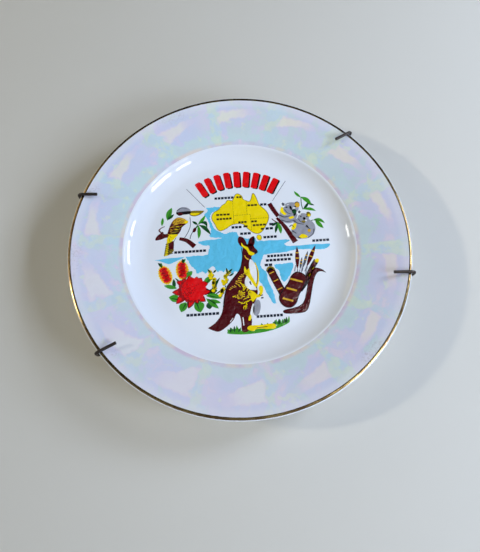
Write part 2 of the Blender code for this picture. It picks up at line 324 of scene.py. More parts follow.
def pearl_lustre():
    """The mother-of-pearl band: sponged patches of pale violet, blue, mint and pink, and a ring of dabs."""
    material, tree, shader, place = start_material("pearl_lustre", IOR=1.6, Thin_Film_IOR=1.75)
    radius, along, chances, low_left = dab_layout(tree, place)
    broad = noise_at(tree, place, 26 * MM, detail=3, roughness=0.5, distortion=0.4).outputs["Fac"]
    patches = noise_at(tree, shift_place(tree, place, (0.3, 0.1, 0.7)), 14 * MM, 4, 0.55,
                       0.4).outputs["Fac"]
    small = noise_at(tree, shift_place(tree, place, (0.9, 0.5, 0.2)), 8 * MM, 3, 0.55, 0.3).outputs["Fac"]
    sponge = noise_at(tree, place, 1.8 * MM, detail=3, roughness=0.6).outputs["Fac"]
    frayed = maths(tree, "MULTIPLY_ADD", sponge, 0.12, maths(tree, "SUBTRACT", patches, 0.06))

    colour = mix_colours(tree, ramp_between(tree, broad, 0.38, 0.62), (0.65, 0.69, 0.77),
                         (0.73, 0.68, 0.77))
    colour = mix_colours(tree, ramp_between(tree, frayed, 0.44, 0.36, 0.0, 0.7), colour, (0.82, 0.70, 0.74))
    under = maths(tree, "MULTIPLY", ramp_between(tree, radius, 75 * MM, 79 * MM),
                  ramp_between(tree, along, 0.15, 0.4))
    colour = mix_colours(tree, maths(tree, "MULTIPLY", under, 0.55), colour, (0.65, 0.65, 0.79))
    inward = maths(tree, "ADD", frayed, ramp_between(tree, radius, 74 * MM, 82 * MM, 0.12, -0.05))
    colour = mix_colours(tree, ramp_between(tree, inward, 0.48, 0.60, 0.0, 0.8), colour, (0.62, 0.75, 0.71))
    from_column = maths(tree, "ABSOLUTE", maths(tree, "SUBTRACT", maths(tree, "FRACT", maths(
        tree, "ADD", along, 0.46)), 0.5))
    column = maths(tree, "ADD", ramp_between(tree, from_column, 0.05, 0.20, 0.22, -0.25), frayed)
    column_colour = mix_colours(tree, ramp_between(tree, small, 0.44, 0.56), (0.60, 0.73, 0.75),
                                (0.70, 0.79, 0.63))
    colour = mix_colours(tree, ramp_between(tree, column, 0.50, 0.66, 0.0, 0.75), colour, column_colour)
    colour = mix_colours(tree, ramp_between(tree, small, 0.60, 0.70, 0.0, 0.7), colour, (0.76, 0.80, 0.64))

    whole, core = brush_dabs(tree, place, radius, along, chances, low_left)
    tail_colour = mix_colours(tree, ramp_between(tree, along, 0.3, 0.7), (0.76, 0.67, 0.78),
                              (0.86, 0.73, 0.73))
    colour = mix_colours(tree, whole, colour, tail_colour)
    core_colour = mix_colours(tree, low_left, (0.84, 0.80, 0.66), (0.84, 0.84, 0.77))
    colour = mix_colours(tree, core, colour, core_colour)

    colour = mix_colours(tree, maths(tree, "MULTIPLY", low_left, 0.25), colour, (0.84, 0.79, 0.82))
    inner_edge = ramp_between(tree, radius, LUSTRE_INNER_RADIUS + 3 * MM, LUSTRE_INNER_RADIUS + 1 * MM, 0.0,
                              0.8)
    broken = ramp_between(tree, frayed, 0.36, 0.54)
    edge_colour = mix_colours(tree, ramp_between(tree, small, 0.4, 0.6), (0.72, 0.55, 0.66),
                              (0.82, 0.70, 0.58))
    colour = mix_colours(tree, maths(tree, "MULTIPLY", inner_edge, broken), colour, edge_colour)
    outer_edge = ramp_between(tree, radius, 92.5 * MM, 96.5 * MM, 0.0, 0.5)
    colour = mix_colours(tree, outer_edge, colour, (0.83, 0.80, 0.81))

    scuff_place = shift_place(tree, place, (0.05, 0.4, 0.15))
    scuff = ramp_between(tree, noise_at(tree, scuff_place, 24 * MM, detail=2).outputs["Fac"], 0.58, 0.68)
    grit = ramp_between(tree, noise_at(tree, place, 1.2 * MM, detail=4, roughness=0.7).outputs["Fac"], 0.46,
                        0.66)
    near_lip = ramp_between(tree, radius, 90 * MM, 95 * MM, 0.0, 0.4)
    wear = maths(tree, "MULTIPLY", maths(tree, "MULTIPLY", scuff, grit), near_lip)
    colour = mix_colours(tree, wear, colour, (0.40, 0.32, 0.30))
    specks = iron_specks(tree, place, 15 * MM, 0.2 * MM, 0.2)
    colour = mix_colours(tree, maths(tree, "MULTIPLY", specks, 0.6), colour, (0.12, 0.09, 0.08))
    set_input(tree, shader.inputs["Base Color"], colour)
    set_input(tree, shader.inputs["Thin Film Thickness"],
              ramp_between(tree, patches, 0.3, 0.7, 300.0, 460.0))
    set_input(tree, shader.inputs["Roughness"], ramp_between(tree, small, 0.3, 0.7, 0.12, 0.22))
    set_input(tree, shader.inputs["Normal"], bump_from(tree, small, 0.015 * MM, 0.5))
    return material


def burnished_gold():
    """The line of bright gold on the lip, worn thin and brown in places."""
    material, tree, shader, place = start_material("burnished_gold")
    wear = noise_at(tree, place, 12 * MM, detail=5, roughness=0.6).outputs["Fac"]
    grain = noise_at(tree, place, 0.6 * MM, detail=3).outputs["Fac"]
    colour = mix_colours(tree, ramp_between(tree, wear, 0.35, 0.65), (0.15, 0.09, 0.04), (0.40, 0.29, 0.12))
    colour = mix_colours(tree, ramp_between(tree, grain, 0.3, 0.8, 0.0, 0.4), colour, (0.10, 0.055, 0.025))
    set_input(tree, shader.inputs["Base Color"], colour)
    set_input(tree, shader.inputs["Metallic"], ramp_between(tree, wear, 0.25, 0.45, 0.75, 1.0))
    set_input(tree, shader.inputs["Roughness"], ramp_between(tree, grain, 0.2, 0.8, 0.16, 0.34))
    set_input(tree, shader.inputs["Normal"], bump_from(tree, grain, 0.01 * MM, 0.5))
    return material


def ink(name, colour, darker=0.86):
    """A fired-on printing ink: a glossy film whose density varies a little."""
    material, tree, shader, place = start_material("ink_" + name, IOR=1.5)
    dark = tuple(channel * darker for channel in colour)
    density = noise_at(tree, place, 5, detail=4, roughness=0.6).outputs["Fac"]
    shade = mix_colours(tree, ramp_between(tree, density, 0.3, 0.7), dark, colour)
    grain = noise_at(tree, place, 0.35, detail=2).outputs["Fac"]
    pale = tuple(channel * 0.98 + 0.008 for channel in colour)
    shade = mix_colours(tree, ramp_between(tree, grain, 0.5, 0.8), shade, pale)
    set_input(tree, shader.inputs["Base Color"], shade)
    set_input(tree, shader.inputs["Roughness"], ramp_between(tree, grain, 0.3, 0.7, 0.07, 0.13))
    set_input(tree, shader.inputs["Normal"], bump_from(tree, density, 0.008, 0.25))
    return material


# ---------------------------------------------------------------- materials of the hanger

def blackened_wire():
    """Steel wire with a dark patina, rubbed brighter in spots and lightly scored along its length."""
    material, tree, shader, place = start_material("blackened_wire", Metallic=0.75)
    patina = noise_at(tree, place, 6 * MM, detail=5, roughness=0.65).outputs["Fac"]
    grain = noise_at(tree, place, 0.35 * MM, detail=4, roughness=0.7).outputs["Fac"]
    colour = mix_colours(tree, patina, (0.020, 0.016, 0.014), (0.070, 0.055, 0.045))
    rust = ramp_between(tree, noise_at(tree, place, 3 * MM, detail=6).outputs["Fac"], 0.60, 0.72, 0.0, 0.7)
    colour = mix_colours(tree, rust, colour, (0.11, 0.05, 0.025))
    rubbed = maths(tree, "MULTIPLY", ramp_between(tree, grain, 0.58, 0.75), 0.4)
    colour = mix_colours(tree, rubbed, colour, (0.22, 0.20, 0.18))
    set_input(tree, shader.inputs["Base Color"], colour)
    set_input(tree, shader.inputs["Roughness"], ramp_between(tree, patina, 0.3, 0.7, 0.30, 0.52))
    set_input(tree, shader.inputs["Normal"], bump_from(tree, grain, 0.03 * MM, 0.6))
    return material


def spring_steel():
    material, tree, shader, place = start_material("drawn_spring_steel", Metallic=1.0)
    dull = noise_at(tree, place, 4 * MM, detail=5, roughness=0.6).outputs["Fac"]
    grain = noise_at(tree, place, 0.25 * MM, detail=3, roughness=0.7).outputs["Fac"]
    colour = mix_colours(tree, ramp_between(tree, dull, 0.35, 0.65), (0.27, 0.25, 0.23), (0.50, 0.48, 0.45))
    stain = ramp_between(tree, dull, 0.62, 0.74, 0.0, 0.6)
    colour = mix_colours(tree, stain, colour, (0.22, 0.13, 0.07))
    set_input(tree, shader.inputs["Base Color"], colour)
    set_input(tree, shader.inputs["Roughness"], ramp_between(tree, dull, 0.3, 0.7, 0.22, 0.42))
    set_input(tree, shader.inputs["Normal"], bump_from(tree, grain, 0.015 * MM, 0.5))
    return material


# ---------------------------------------------------------------- mesh helpers

def link_mesh(name, build, materials, sharp_angle=math.radians(35)):
    """A new object from a bmesh, shaded smooth with its corners kept."""
    mesh = bpy.data.meshes.new(name)
    build.to_mesh(mesh)
    build.free()
    for material in materials:
        mesh.materials.append(material)
    mesh.shade_smooth()
    mesh.set_sharp_from_angle(angle=sharp_angle)
    made = bpy.data.objects.new(name, mesh)
    bpy.context.scene.collection.objects.link(made)
    return made


def bend(before, corner, after, radius):
    """The arc that rounds a corner: its first point, centre, axis and turn."""
    incoming = (corner - before).normalized()
    outgoing = (after - corner).normalized()
    turn = incoming.angle(outgoing)
    axis = incoming.cross(outgoing).normalized()
    first = corner - incoming * radius * math.tan(turn / 2)
    centre = first + axis.cross(incoming) * radius
    return first, centre, axis, turn


def rounded_path(corners, arc_step):
    """Straight runs joined by arcs, from (point, bend radius) pairs. The end radii aren't used."""
    points = [corners[0][0]]
    for (before, _), (corner, radius), (after, _) in zip(corners, corners[1:], corners[2:]):
        first, centre, axis, turn = bend(before, corner, after, radius)
        steps = max(3, math.ceil(turn / arc_step))
        for step in range(steps + 1):
            rotation = Matrix.Rotation(turn * step / steps, 3, axis)
            points.append(centre + rotation @ (first - centre))
    points.append(corners[-1][0])
    return points


def add_tube(name, points, radius, sides, material, chamfer=0.0):
    """A round wire along points, with cut ends whose edge is broken by chamfer."""
    first_way = (points[1] - points[0]).normalized()
    last_way = (points[-1] - points[-2]).normalized()
    centres = [points[0], points[0] + first_way * chamfer, *points[1:-1], points[-1] - last_way * chamfer,
               points[-1]]
    radii = [radius - chamfer] + [radius] * (len(centres) - 2) + [radius - chamfer]
    build = bmesh.new()
    side = first_way.orthogonal().normalized()
    way_before = first_way
    rings = []
    for index, centre in enumerate(centres):
        behind = centres[max(index - 1, 0)]
        ahead = centres[min(index + 1, len(centres) - 1)]
        way = (ahead - behind).normalized()
        side = way_before.rotation_difference(way) @ side
        side = (side - way * side.dot(way)).normalized()
        other = way.cross(side)
        ring = []
        for step in range(sides):
            angle = math.tau * step / sides
            offset = (side * math.cos(angle) + other * math.sin(angle)) * radii[index]
            ring.append(build.verts.new(centre + offset))
        rings.append(ring)
        way_before = way
    for ring, following in zip(rings, rings[1:]):
        for step in range(sides):
            ahead = (step + 1) % sides
            build.faces.new((ring[step], ring[ahead], following[ahead], following[step]))
    build.faces.new(rings[0][::-1])
    build.faces.new(rings[-1])
    bmesh.ops.recalc_face_normals(build, faces=build.faces)
    return link_mesh(name, build, [material])


# ---------------------------------------------------------------- the plate

def plate_profile():
    """The plate's half section, from the well's centre out over the lip and back under the foot ring."""
    crest_radius = PLATE_RADIUS - LIP_CREST_INSET
    recess_depth = PLATE_HEIGHT - FOOT_HEIGHT
    foot_inner_radius = FOOT_OUTER_RADIUS - FOOT_WIDTH
    radius_depth_rounding = [
        (0, WELL_DEPTH, 0),
        (WELL_FLOOR_RADIUS, WELL_DEPTH, 25 * MM),
        (SHOULDER_RADIUS, SHOULDER_DEPTH, 4 * MM),
        (crest_radius, 0, 1.2 * MM),
        (PLATE_RADIUS, LIP_ROUNDING_DEPTH, 0.8 * MM),
        (PLATE_RADIUS, LIP_THICKNESS - LIP_ROUNDING_DEPTH, 0.8 * MM),
        (crest_radius, LIP_THICKNESS, 1.2 * MM),
        (SHOULDER_RADIUS + UNDERSIDE_OUT, SHOULDER_DEPTH + UNDERSIDE_BACK, 5 * MM),
        (WELL_FLOOR_RADIUS + UNDERSIDE_OUT, WELL_DEPTH + UNDERSIDE_BACK, 7 * MM),
        (FOOT_OUTER_RADIUS + FOOT_FLARE, recess_depth + FOOT_FLARE, 1 * MM),
        (FOOT_OUTER_RADIUS, PLATE_HEIGHT, 0.5 * MM),
        (foot_inner_radius, PLATE_HEIGHT, 0.5 * MM),
        (foot_inner_radius - FOOT_FLARE, recess_depth, 0.6 * MM),
        (0, recess_depth, 0),
    ]
    corners = [(Vector((radius, depth, 0)), rounding) for radius, depth, rounding in radius_depth_rounding]
    return rounded_path(corners, PROFILE_ARC_STEP)


def cut_at_radius(points, radius):
    """The profile with a point added where its front first reaches radius."""
    for index, (point, ahead) in enumerate(zip(points, points[1:])):
        if point.x < radius <= ahead.x:
            part = (radius - point.x) / (ahead.x - point.x)
            return points[:index + 1] + [point.lerp(ahead, part)] + points[index + 1:]
    return points


def finish_of(middle, on_front):
    """Which of the plate's materials covers a stretch of its profile."""
    if on_front and middle.x > GOLD_INNER_RADIUS:
        return 2 if middle.x < GOLD_OUTER_RADIUS else 0
    if on_front and middle.x > LUSTRE_INNER_RADIUS:
        return 1
    return 3 if middle.y > PLATE_HEIGHT - 0.05 * MM else 0


def add_plate():
    points = plate_profile()
    for radius in (LUSTRE_INNER_RADIUS, GOLD_INNER_RADIUS, GOLD_OUTER_RADIUS):
        points = cut_at_radius(points, radius)
    outermost = max(range(len(points)), key=lambda index: points[index].x)
    build = bmesh.new()
    poles = (build.verts.new((0, points[0].y, 0)), build.verts.new((0, points[-1].y, 0)))
    rings = []
    for point in points[1:-1]:
        angles = [math.tau * step / PLATE_SEGMENTS for step in range(PLATE_SEGMENTS)]
        rings.append([build.verts.new((point.x * math.cos(a), point.y,
                                       point.x * math.sin(a))) for a in angles])
    for index, (ring, following) in enumerate(zip(rings, rings[1:]), start=1):
        finish = finish_of((points[index] + points[index + 1]) / 2, index < outermost)
        for step in range(PLATE_SEGMENTS):
            ahead = (step + 1) % PLATE_SEGMENTS
            face = build.faces.new((ring[step], ring[ahead], following[ahead], following[step]))
            face.material_index = finish
    for pole, ring in ((poles[0], rings[0]), (poles[1], rings[-1])):
        for step in range(PLATE_SEGMENTS):
            build.faces.new((pole, ring[step], ring[(step + 1) % PLATE_SEGMENTS]))
    bmesh.ops.recalc_face_normals(build, faces=build.faces)
    materials = [white_glaze(), pearl_lustre(), burnished_gold(), bisque()]
    plate = link_mesh("glazed_plate", build, materials, math.radians(60))
    plate.location = PLATE_CENTRE
    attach(plate, "plate")
    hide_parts("porcelain_plate")


# ---------------------------------------------------------------- the hanger

FACE_DEPTH = PLATE_HEIGHT + FOOT_GAP + WIRE_RADIUS
AXIS_POINT = Vector((PLATE_CENTRE.x, 0, PLATE_CENTRE.z))


def arm_corners(spring_bend, claw_angle, leg_length):
    """One arm's corners, from its claw's tip to its spring bend, about the plate's axis."""
    inner = Vector((spring_bend[0], 0, spring_bend[1]))
    crossing = Vector((math.cos(claw_angle), 0, math.sin(claw_angle))) * PLATE_RADIUS
    outward = (crossing - inner).normalized()

    def reach(radius):
        """The point of the arm's straight line at a distance from the plate's axis."""
        along = inner.dot(outward)
        return inner + outward * (math.sqrt(along**2 + radius**2 - inner.length_squared) - along)

    front = Vector((0, -FACE_DEPTH - FOOT_GAP - WIRE_RADIUS, 0))
    back = front + Vector((0, CLAW_MOUTH + 2 * WIRE_RADIUS, 0))
    turn_over = reach(PLATE_RADIUS + CLAW_RIM_GAP + WIRE_RADIUS)
    return [
        (crossing - outward * leg_length + front, 0),
        (turn_over + front, CLAW_BEND_RADIUS),
        (turn_over + back, CLAW_BEND_RADIUS),
        (reach(FOOT_OUTER_RADIUS + ARM_BEND_OVERHANG), ARM_BEND_RADIUS),
        (inner, SPRING_BEND_RADIUS),
    ]


def mirrored(corners):
    """A right-hand run of corners followed by its mirror image on the left."""
    left = [(Vector((-point.x, point.y, point.z)), radius) for point, radius in reversed(corners)]
    return corners + left


def upper_corners():
    right = arm_corners(UPPER_SPRING_BEND, UPPER_CLAW_ANGLE, UPPER_LEG_LENGTH)
    loop = [(Vector((0, 0, LOOP_BEND_HEIGHT)), LOOP_RADIUS)]
    return right + loop + mirrored(right)[len(right):]


def lower_corners():
    right = arm_corners(LOWER_SPRING_BEND, LOWER_CLAW_ANGLE, LOWER_LEG_LENGTH)
    dip = [(Vector((DIP_BEND[0], 0, DIP_BEND[1])), DIP_RADIUS)]
    return mirrored(right + dip)


def arc_extreme(corners, index, up):
    """The point of one corner's arc that lies furthest along Z: up is +1 for its top, -1 for its foot."""
    (before, _), (corner, radius), (after, _) = corners[index - 1:index + 2]
    centre = bend(before, corner, after, radius)[1]
    return centre + Vector((0, 0, up * radius))


def add_hanger_wire(name, corners, body, node, material):
    points = [point + AXIS_POINT for point in rounded_path(corners, WIRE_ARC_STEP)]
    wire = add_tube(name, points, WIRE_RADIUS, WIRE_SIDES, material, chamfer=0.12 * MM)
    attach(wire, body)
    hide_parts(node)


def hook_and_neck(seat, towards_body):
    """A hook round the wire at seat, then the neck that opens out into the coil on its towards_body side."""
    bearing = WIRE_RADIUS + HOOK_GAP + SPRING_WIRE_RADIUS
    centre = seat + Vector((0, 0, towards_body * (HOOK_RADIUS - bearing)))
    points = []
    hook_steps = 30
    for step in range(hook_steps):
        angle = HOOK_SWEEP * (1 - step / hook_steps)
        offset = (0, HOOK_RADIUS * math.sin(angle), towards_body * HOOK_RADIUS * math.cos(angle))
        points.append(centre + Vector(offset))
    neck_steps = 12
    for step in range(neck_steps):
        part = step / neck_steps
        angle = -math.pi / 2 - towards_body * math.pi / 2 * part**2
        radius = SPRING_COIL_RADIUS * part
        rise = towards_body * (HOOK_RADIUS + NECK_LENGTH * part)
        points.append(centre + Vector((radius * math.cos(angle), radius * math.sin(angle), rise)))
    return points


def add_spring(name, upper_seat, lower_seat, node, material):
    """A drawn-wire tension spring whose coil is spread evenly between its two hooks."""
    inset = WIRE_RADIUS + HOOK_GAP + SPRING_WIRE_RADIUS - 2 * HOOK_RADIUS - NECK_LENGTH
    coil_top = upper_seat + Vector((0, 0, inset))
    coil_bottom = lower_seat - Vector((0, 0, inset))
    turns = SPRING_TURNS + 0.5
    count = round(turns * SPRING_POINTS_PER_TURN)
    coil = []
    for index in range(count + 1):
        part = index / count
        angle = turns * math.tau * part
        ring = Vector((math.cos(angle), math.sin(angle), 0)) * SPRING_COIL_RADIUS
        coil.append(coil_top.lerp(coil_bottom, part) + ring)
    points = hook_and_neck(upper_seat, -1) + coil + hook_and_neck(lower_seat, 1)[::-1]
    spring = add_tube(name, points, SPRING_WIRE_RADIUS, SPRING_SIDES, material, chamfer=0.05 * MM)
    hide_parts(node)
    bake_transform(spring)


def add_hanger():
    dark_wire = blackened_wire()
    steel = spring_steel()
    upper = upper_corners()
    lower = lower_corners()
    add_hanger_wire("upper_wire", upper, "upper_hanger", "upper_hanger_wire", dark_wire)
    add_hanger_wire("lower_wire", lower, "lower_hanger", "lower_hanger_wire", dark_wire)
    upper_seat = arc_extreme(upper, SPRING_CORNER, -1)
    lower_seat = arc_extreme(lower, SPRING_CORNER, 1)
    lower_seat.x = upper_seat.x
    for name, side in (("left", -1), ("right", 1)):
        seats = [AXIS_POINT + Vector((side * seat.x, seat.y, seat.z)) for seat in (upper_seat, lower_seat)]
        add_spring(name + "_spring", *seats, name + "_hanger_spring", steel)


# ---------------------------------------------------------------- flat shapes of the printed picture

def smooth_line(points, closed, steps=6):
    """A smooth curve through the points. A point given twice makes a corner."""
    count = len(points)
    spans = count if closed else count - 1

    def at(index):
        return points[index % count] if closed else points[min(max(index, 0), count - 1)]

    line = []
    for index in range(spans):
        p0, p1, p2, p3 = (Vector(at(index + offset)) for offset in (-1, 0, 1, 2))
        if (p2 - p1).length < 1e-6:
            continue
        for step in range(steps):
            t = step / steps
            line.append(0.5 * (2 * p1 + (p2 - p0) * t + (2 * p0 - 5 * p1 + 4 * p2 - p3) * t * t
                               + (3 * p1 - p0 - 3 * p2 + p3) * t**3))
    if not closed:
        line.append(Vector(points[-1]))
    return line


def blob(*points):
    return smooth_line(points, closed=True)


def corner_shape(*points):
    return [Vector(point) for point in points]


def stroke(points, width, end_width=None):
    """A brush line along the points, whose width runs from width to end_width."""
    line = smooth_line(points, closed=False)
    last = width if end_width is None else end_width
    left, right = [], []
    for index, point in enumerate(line):
        way = (line[min(index + 1, len(line) - 1)] - line[max(index - 1, 0)]).normalized()
        half = (width + (last - width) * index / (len(line) - 1)) / 2
        normal = Vector((-way.y, way.x)) * half
        left.append(point + normal)
        right.append(point - normal)
    return left + right[::-1]


def leaf(base, tip, width, curve=0.0, steps=9):
    """A pointed leaf from base to tip, bowed sideways by curve."""
    base, tip = Vector(base), Vector(tip)
    normal = Vector((base.y - tip.y, tip.x - base.x)).normalized()

    def side_point(part, side):
        swell = math.sin(math.pi * part) ** 0.85 * width / 2
        return base.lerp(tip, part) + normal * (side * swell + curve * 4 * part * (1 - part))

    out = [side_point(step / steps, 1) for step in range(steps)]
    return out + [side_point(1 - step / steps, -1) for step in range(steps)]


def oval(centre, half_width, half_height, tilt=0.0, lobes=0, lobe_depth=0.0, steps=28):
    """An ellipse whose edge may be lobed. tilt is in degrees, anticlockwise."""
    turn = Matrix.Rotation(math.radians(tilt), 2)
    count = max(steps, lobes * 6)
    points = []
    for step in range(count):
        angle = math.tau * step / count
        swell = 1 + lobe_depth * math.cos(lobes * angle) if lobes else 1
        offset = turn @ Vector((half_width * math.cos(angle), half_height * math.sin(angle)))
        points.append(Vector(centre) + offset * swell)
    return points


def grown(outline, amount):
    """The outline moved outwards by amount."""
    area = sum(a.x * b.y - b.x * a.y for a, b in zip(outline, outline[1:] + outline[:1]))
    sign = 1 if area > 0 else -1
    moved = []
    for before, point, after in zip(outline[-1:] + outline[:-1], outline, outline[1:] + outline[:1]):
        way = (after - before).normalized()
        moved.append(point + Vector((way.y, -way.x)) * amount * sign)
    return moved


def ragged(outline, amount, seed):
    """The outline with its points pushed in and out a little, as a sponged or torn edge has."""
    chance = random.Random(seed)
    moved = []
    for before, point, after in zip(outline[-1:] + outline[:-1], outline, outline[1:] + outline[:1]):
        way = (after - before).normalized()
        moved.append(point + Vector((way.y, -way.x)) * chance.uniform(-amount, amount))
    return moved


def fur(line, count, length, width, lean, seed, spread=1.0):
    """Short tapering strokes scattered along a line, each turned lean degrees from it."""
    chance = random.Random(seed)
    path = smooth_line(line, closed=False)
    strokes = []
    for index in range(count):
        place = (index + 0.5) / count * (len(path) - 1)
        at = min(int(place), len(path) - 2)
        way = (path[at + 1] - path[at]).normalized()
        turned = Matrix.Rotation(math.radians(lean + chance.uniform(-14, 14)), 2) @ way
        root = path[at].lerp(path[at + 1], place - at) + Vector((way.y, -way.x)) * chance.uniform(-spread,
                                                                                                  spread)
        reach = length * chance.uniform(0.7, 1.3)
        bow = Vector((turned.y, -turned.x)) * reach * 0.12
        strokes.append(stroke([root, root + turned * reach * 0.5 + bow, root + turned * reach], width,
                              width * 0.3))
    return strokes


class Figure:
    """One group of the printed picture: flat films of ink, each laid at a level above the glaze."""

    def __init__(self, name, inks):
        self.name = name
        self.inks = inks
        self.used = []
        self.build = bmesh.new()

    def lay(self, colour, level, *outlines):
        if colour not in self.used:
            self.used.append(colour)
        for outline in outlines:
            self.add_film(outline, level, self.used.index(colour))

    def add_film(self, outline, level, material_index):
        """A closed film over an outline, from just inside the glaze to its level."""
        area = sum(a.x * b.y - b.x * a.y for a, b in zip(outline, outline[1:] + outline[:1]))
        outline = outline if area > 0 else outline[::-1]
        tops = [self.build.verts.new((point.x, -level * INK_STEP, point.y)) for point in outline]
        feet = [self.build.verts.new((point.x, INK_SINK, point.y)) for point in outline]
        faces = []
        for triangle in geometry.tessellate_polygon([[Vector((*point, 0)) for point in outline]]):
            faces.append(self.build.faces.new([tops[index] for index in triangle]))
            faces.append(self.build.faces.new([feet[index] for index in reversed(triangle)]))
        for index in range(len(outline)):
            ahead = (index + 1) % len(outline)
            faces.append(self.build.faces.new((tops[index], tops[ahead], feet[ahead], feet[index])))
        bmesh.ops.recalc_face_normals(self.build, faces=faces)
        for face in faces:
            face.material_index = material_index

    def finish(self):
        figure = link_mesh(self.name, self.build, [self.inks[colour] for colour in self.used])
        shift = VIEWER_AXES @ Vector((PICTURE_SHIFT[0], 0, PICTURE_SHIFT[1])) * MM
        figure.location = PLATE_CENTRE + Vector((0, WELL_DEPTH, 0)) + shift
        figure.rotation_euler = (0, PICTURE_TURN, 0)
        figure.scale = Vector((PICTURE_SCALE, 1, PICTURE_SCALE)) * MM
        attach(figure, "plate")


def make_inks():
    return {
        "red": ink("red", linear(240, 6, 14)),
        "deep_red": ink("deep_red", linear(160, 6, 14)),
        "maroon": ink("maroon", linear(80, 0, 8)),
        "black": ink("black", linear(22, 14, 18)),
        "yellow": ink("yellow", linear(252, 222, 0), darker=0.97),
        "olive": ink("olive", linear(146, 124, 14)),
        "dark_olive": ink("dark_olive", linear(62, 52, 12)),
        "ochre": ink("ochre", linear(226, 176, 40)),
        "orange": ink("orange", linear(248, 150, 30)),
        "sky": ink("sky", linear(98, 198, 228), darker=0.98),
        "green": ink("green", linear(66, 156, 36)),
        "dark_green": ink("dark_green", linear(18, 76, 32)),
        "grey": ink("grey", linear(160, 160, 166)),
        "dark_grey": ink("dark_grey", linear(84, 86, 94)),
        "white": ink("white", linear(246, 245, 240), darker=0.96),
        "slate": ink("slate", linear(30, 36, 50)),
    }


def print_sky(inks):
    """A ragged wash of blue behind the figures."""
    figure = Figure("print_sky", inks)
    wash = blob(
        (-19, 31), (-19, 31), (-14, 31.2), (-9.4, 30.8), (-12.6, 28.8), (-16, 27), (-17, 24), (-16, 20),
        (-13.8, 15.4), (-11, 13.8), (-8, 12.4), (-5, 13.4), (-1.4, 13), (0, 10.6), (3, 9), (7.5, 8),
        (10, 8.6), (11, 6.4), (18, 6.2), (29, 6), (31.2, 5), (27.6, 3.4), (31, 1.8), (44, 1.7),
        (55.2, 1.6), (55, -0.2), (51.6, -1.8), (44, -1.4), (36.6, -0.8), (33, -1.2), (26, -2.4),
        (15.6, -2.8), (13.6, -5), (12, -8.6), (12.4, -11.2), (15, -14.4), (15.6, -20), (18, -26),
        (19.1, -34), (19.1, -34), (17.2, -33.4), (15, -29), (13, -24.4), (10.8, -20), (5, -15),
        (-3.4, -12.6), (-5.4, -14.2), (-8.6, -10.2), (-10.4, -12.4), (-12.6, -11.2), (-14.4, -12),
        (-16.6, -8.2), (-19.4, -9.8), (-21.2, -12.6), (-23.4, -11.2), (-26.6, -12.2), (-27.6, -9.6),
        (-30, -7), (-31.6, -3.6), (-33, -1), (-27, -0.7), (-20.2, -0.6), (-19, 1.8), (-18.2, 5),
        (-22.6, 6), (-25, 8.2), (-20, 9), (-11.4, 9.4), (-11.6, 10.2), (-17.8, 11.2), (-16.8, 14.6),
        (-17.6, 19), (-18.8, 23.4), (-20.6, 26.4), (-18.4, 28.6),
    )
    patch = blob((-52, -1.8), (-52, -1.8), (-47.6, -3.2), (-43.4, -4.9), (-39, -3.4), (-33.6, -1),
                 (-33.6, -1), (-42, -1.1))
    window = blob((20.4, -9.8), (25, -9.6), (31.4, -9.4), (30.6, -14), (27.6, -19), (25, -21), (23.4, -18),
                  (22.6, -13.6), (20.8, -12))
    figure.lay("sky", 1, ragged(wash, 0.26, 5), ragged(patch, 0.1, 6), ragged(window, 0.22, 8))
    figure.finish()


def print_map(inks):
    """A plain map of the continent with dashed inner borders."""
    figure = Figure("print_map", inks)
    land = blob(
        (-15.8, 24.6), (-14.4, 27.2), (-11, 29.4), (-9.2, 31.6), (-6.8, 33.2), (-5.2, 35.2), (-2.6, 34.8),
        (-1.2, 36.6), (0, 38.8), (1.6, 39.2), (3.8, 37.4), (4.4, 35.4), (6.2, 34.2), (8.4, 33.4),
        (9.6, 35), (10.4, 37.6), (11.2, 39), (12.4, 37), (13.4, 33.6), (14.2, 30.8), (16.4, 28.4),
        (18.6, 25.6), (19.6, 22.4), (18.8, 19.2), (17, 16), (14.8, 12.8), (12.4, 11.4), (9.6, 12),
        (7.4, 13.8), (5.8, 15.4), (4.2, 17.6), (1.6, 18.8), (-2.4, 18.6), (-5, 17.6), (-7.8, 15.8),
        (-11, 14.8), (-12.8, 16.2), (-14.2, 19.6), (-15.6, 22.2),
    )
    island = oval((12.6, 8.6), 1.3, 1.7, 20)
    figure.lay("olive", 2, grown(land, 0.3), grown(island, 0.25))
    figure.lay("yellow", 3, grown(land, -0.1), grown(island, -0.05))
    borders = (
        ((-2.3, 34.6), (-2.3, 18.9)), ((-2.3, 24.5), (8.3, 24.5)), ((6.3, 33.8), (6.3, 24.5)),
        ((8.3, 24.5), (8.3, 13.6)), ((8.3, 21.5), (19.2, 21.5)),
    )
    for start, end in borders:
        start, end = Vector(start), Vector(end)
        dashes = max(2, round((end - start).length / 1.1))
        for index in range(dashes):
            along = [start.lerp(end, (index + part) / dashes) for part in (0.15, 0.7)]
            figure.lay("dark_olive", 4, stroke(along, 0.26))
    figure.finish()


def title_block(middle, reach, half_width, low, high, offset=(0, 0)):
    """One upright bar with rounded corners, standing on an arc about middle at an angle reach."""
    outward = Vector((math.sin(reach), math.cos(reach)))
    sideways = Vector((outward.y, -outward.x))
    rounding = 0.7
    points = []
    for side, height in ((-1, low), (-1, high), (1, high), (1, low)):
        inward = 1 if height == low else -1
        first = (side * half_width, height + inward * rounding)
        second = (side * (half_width - rounding), height)
        points += [first, second] if (side < 0) == (height == high) else [second, first]
    place = Vector(middle) + Vector(offset)
    return [place + sideways * across + outward * height for across, height in points]


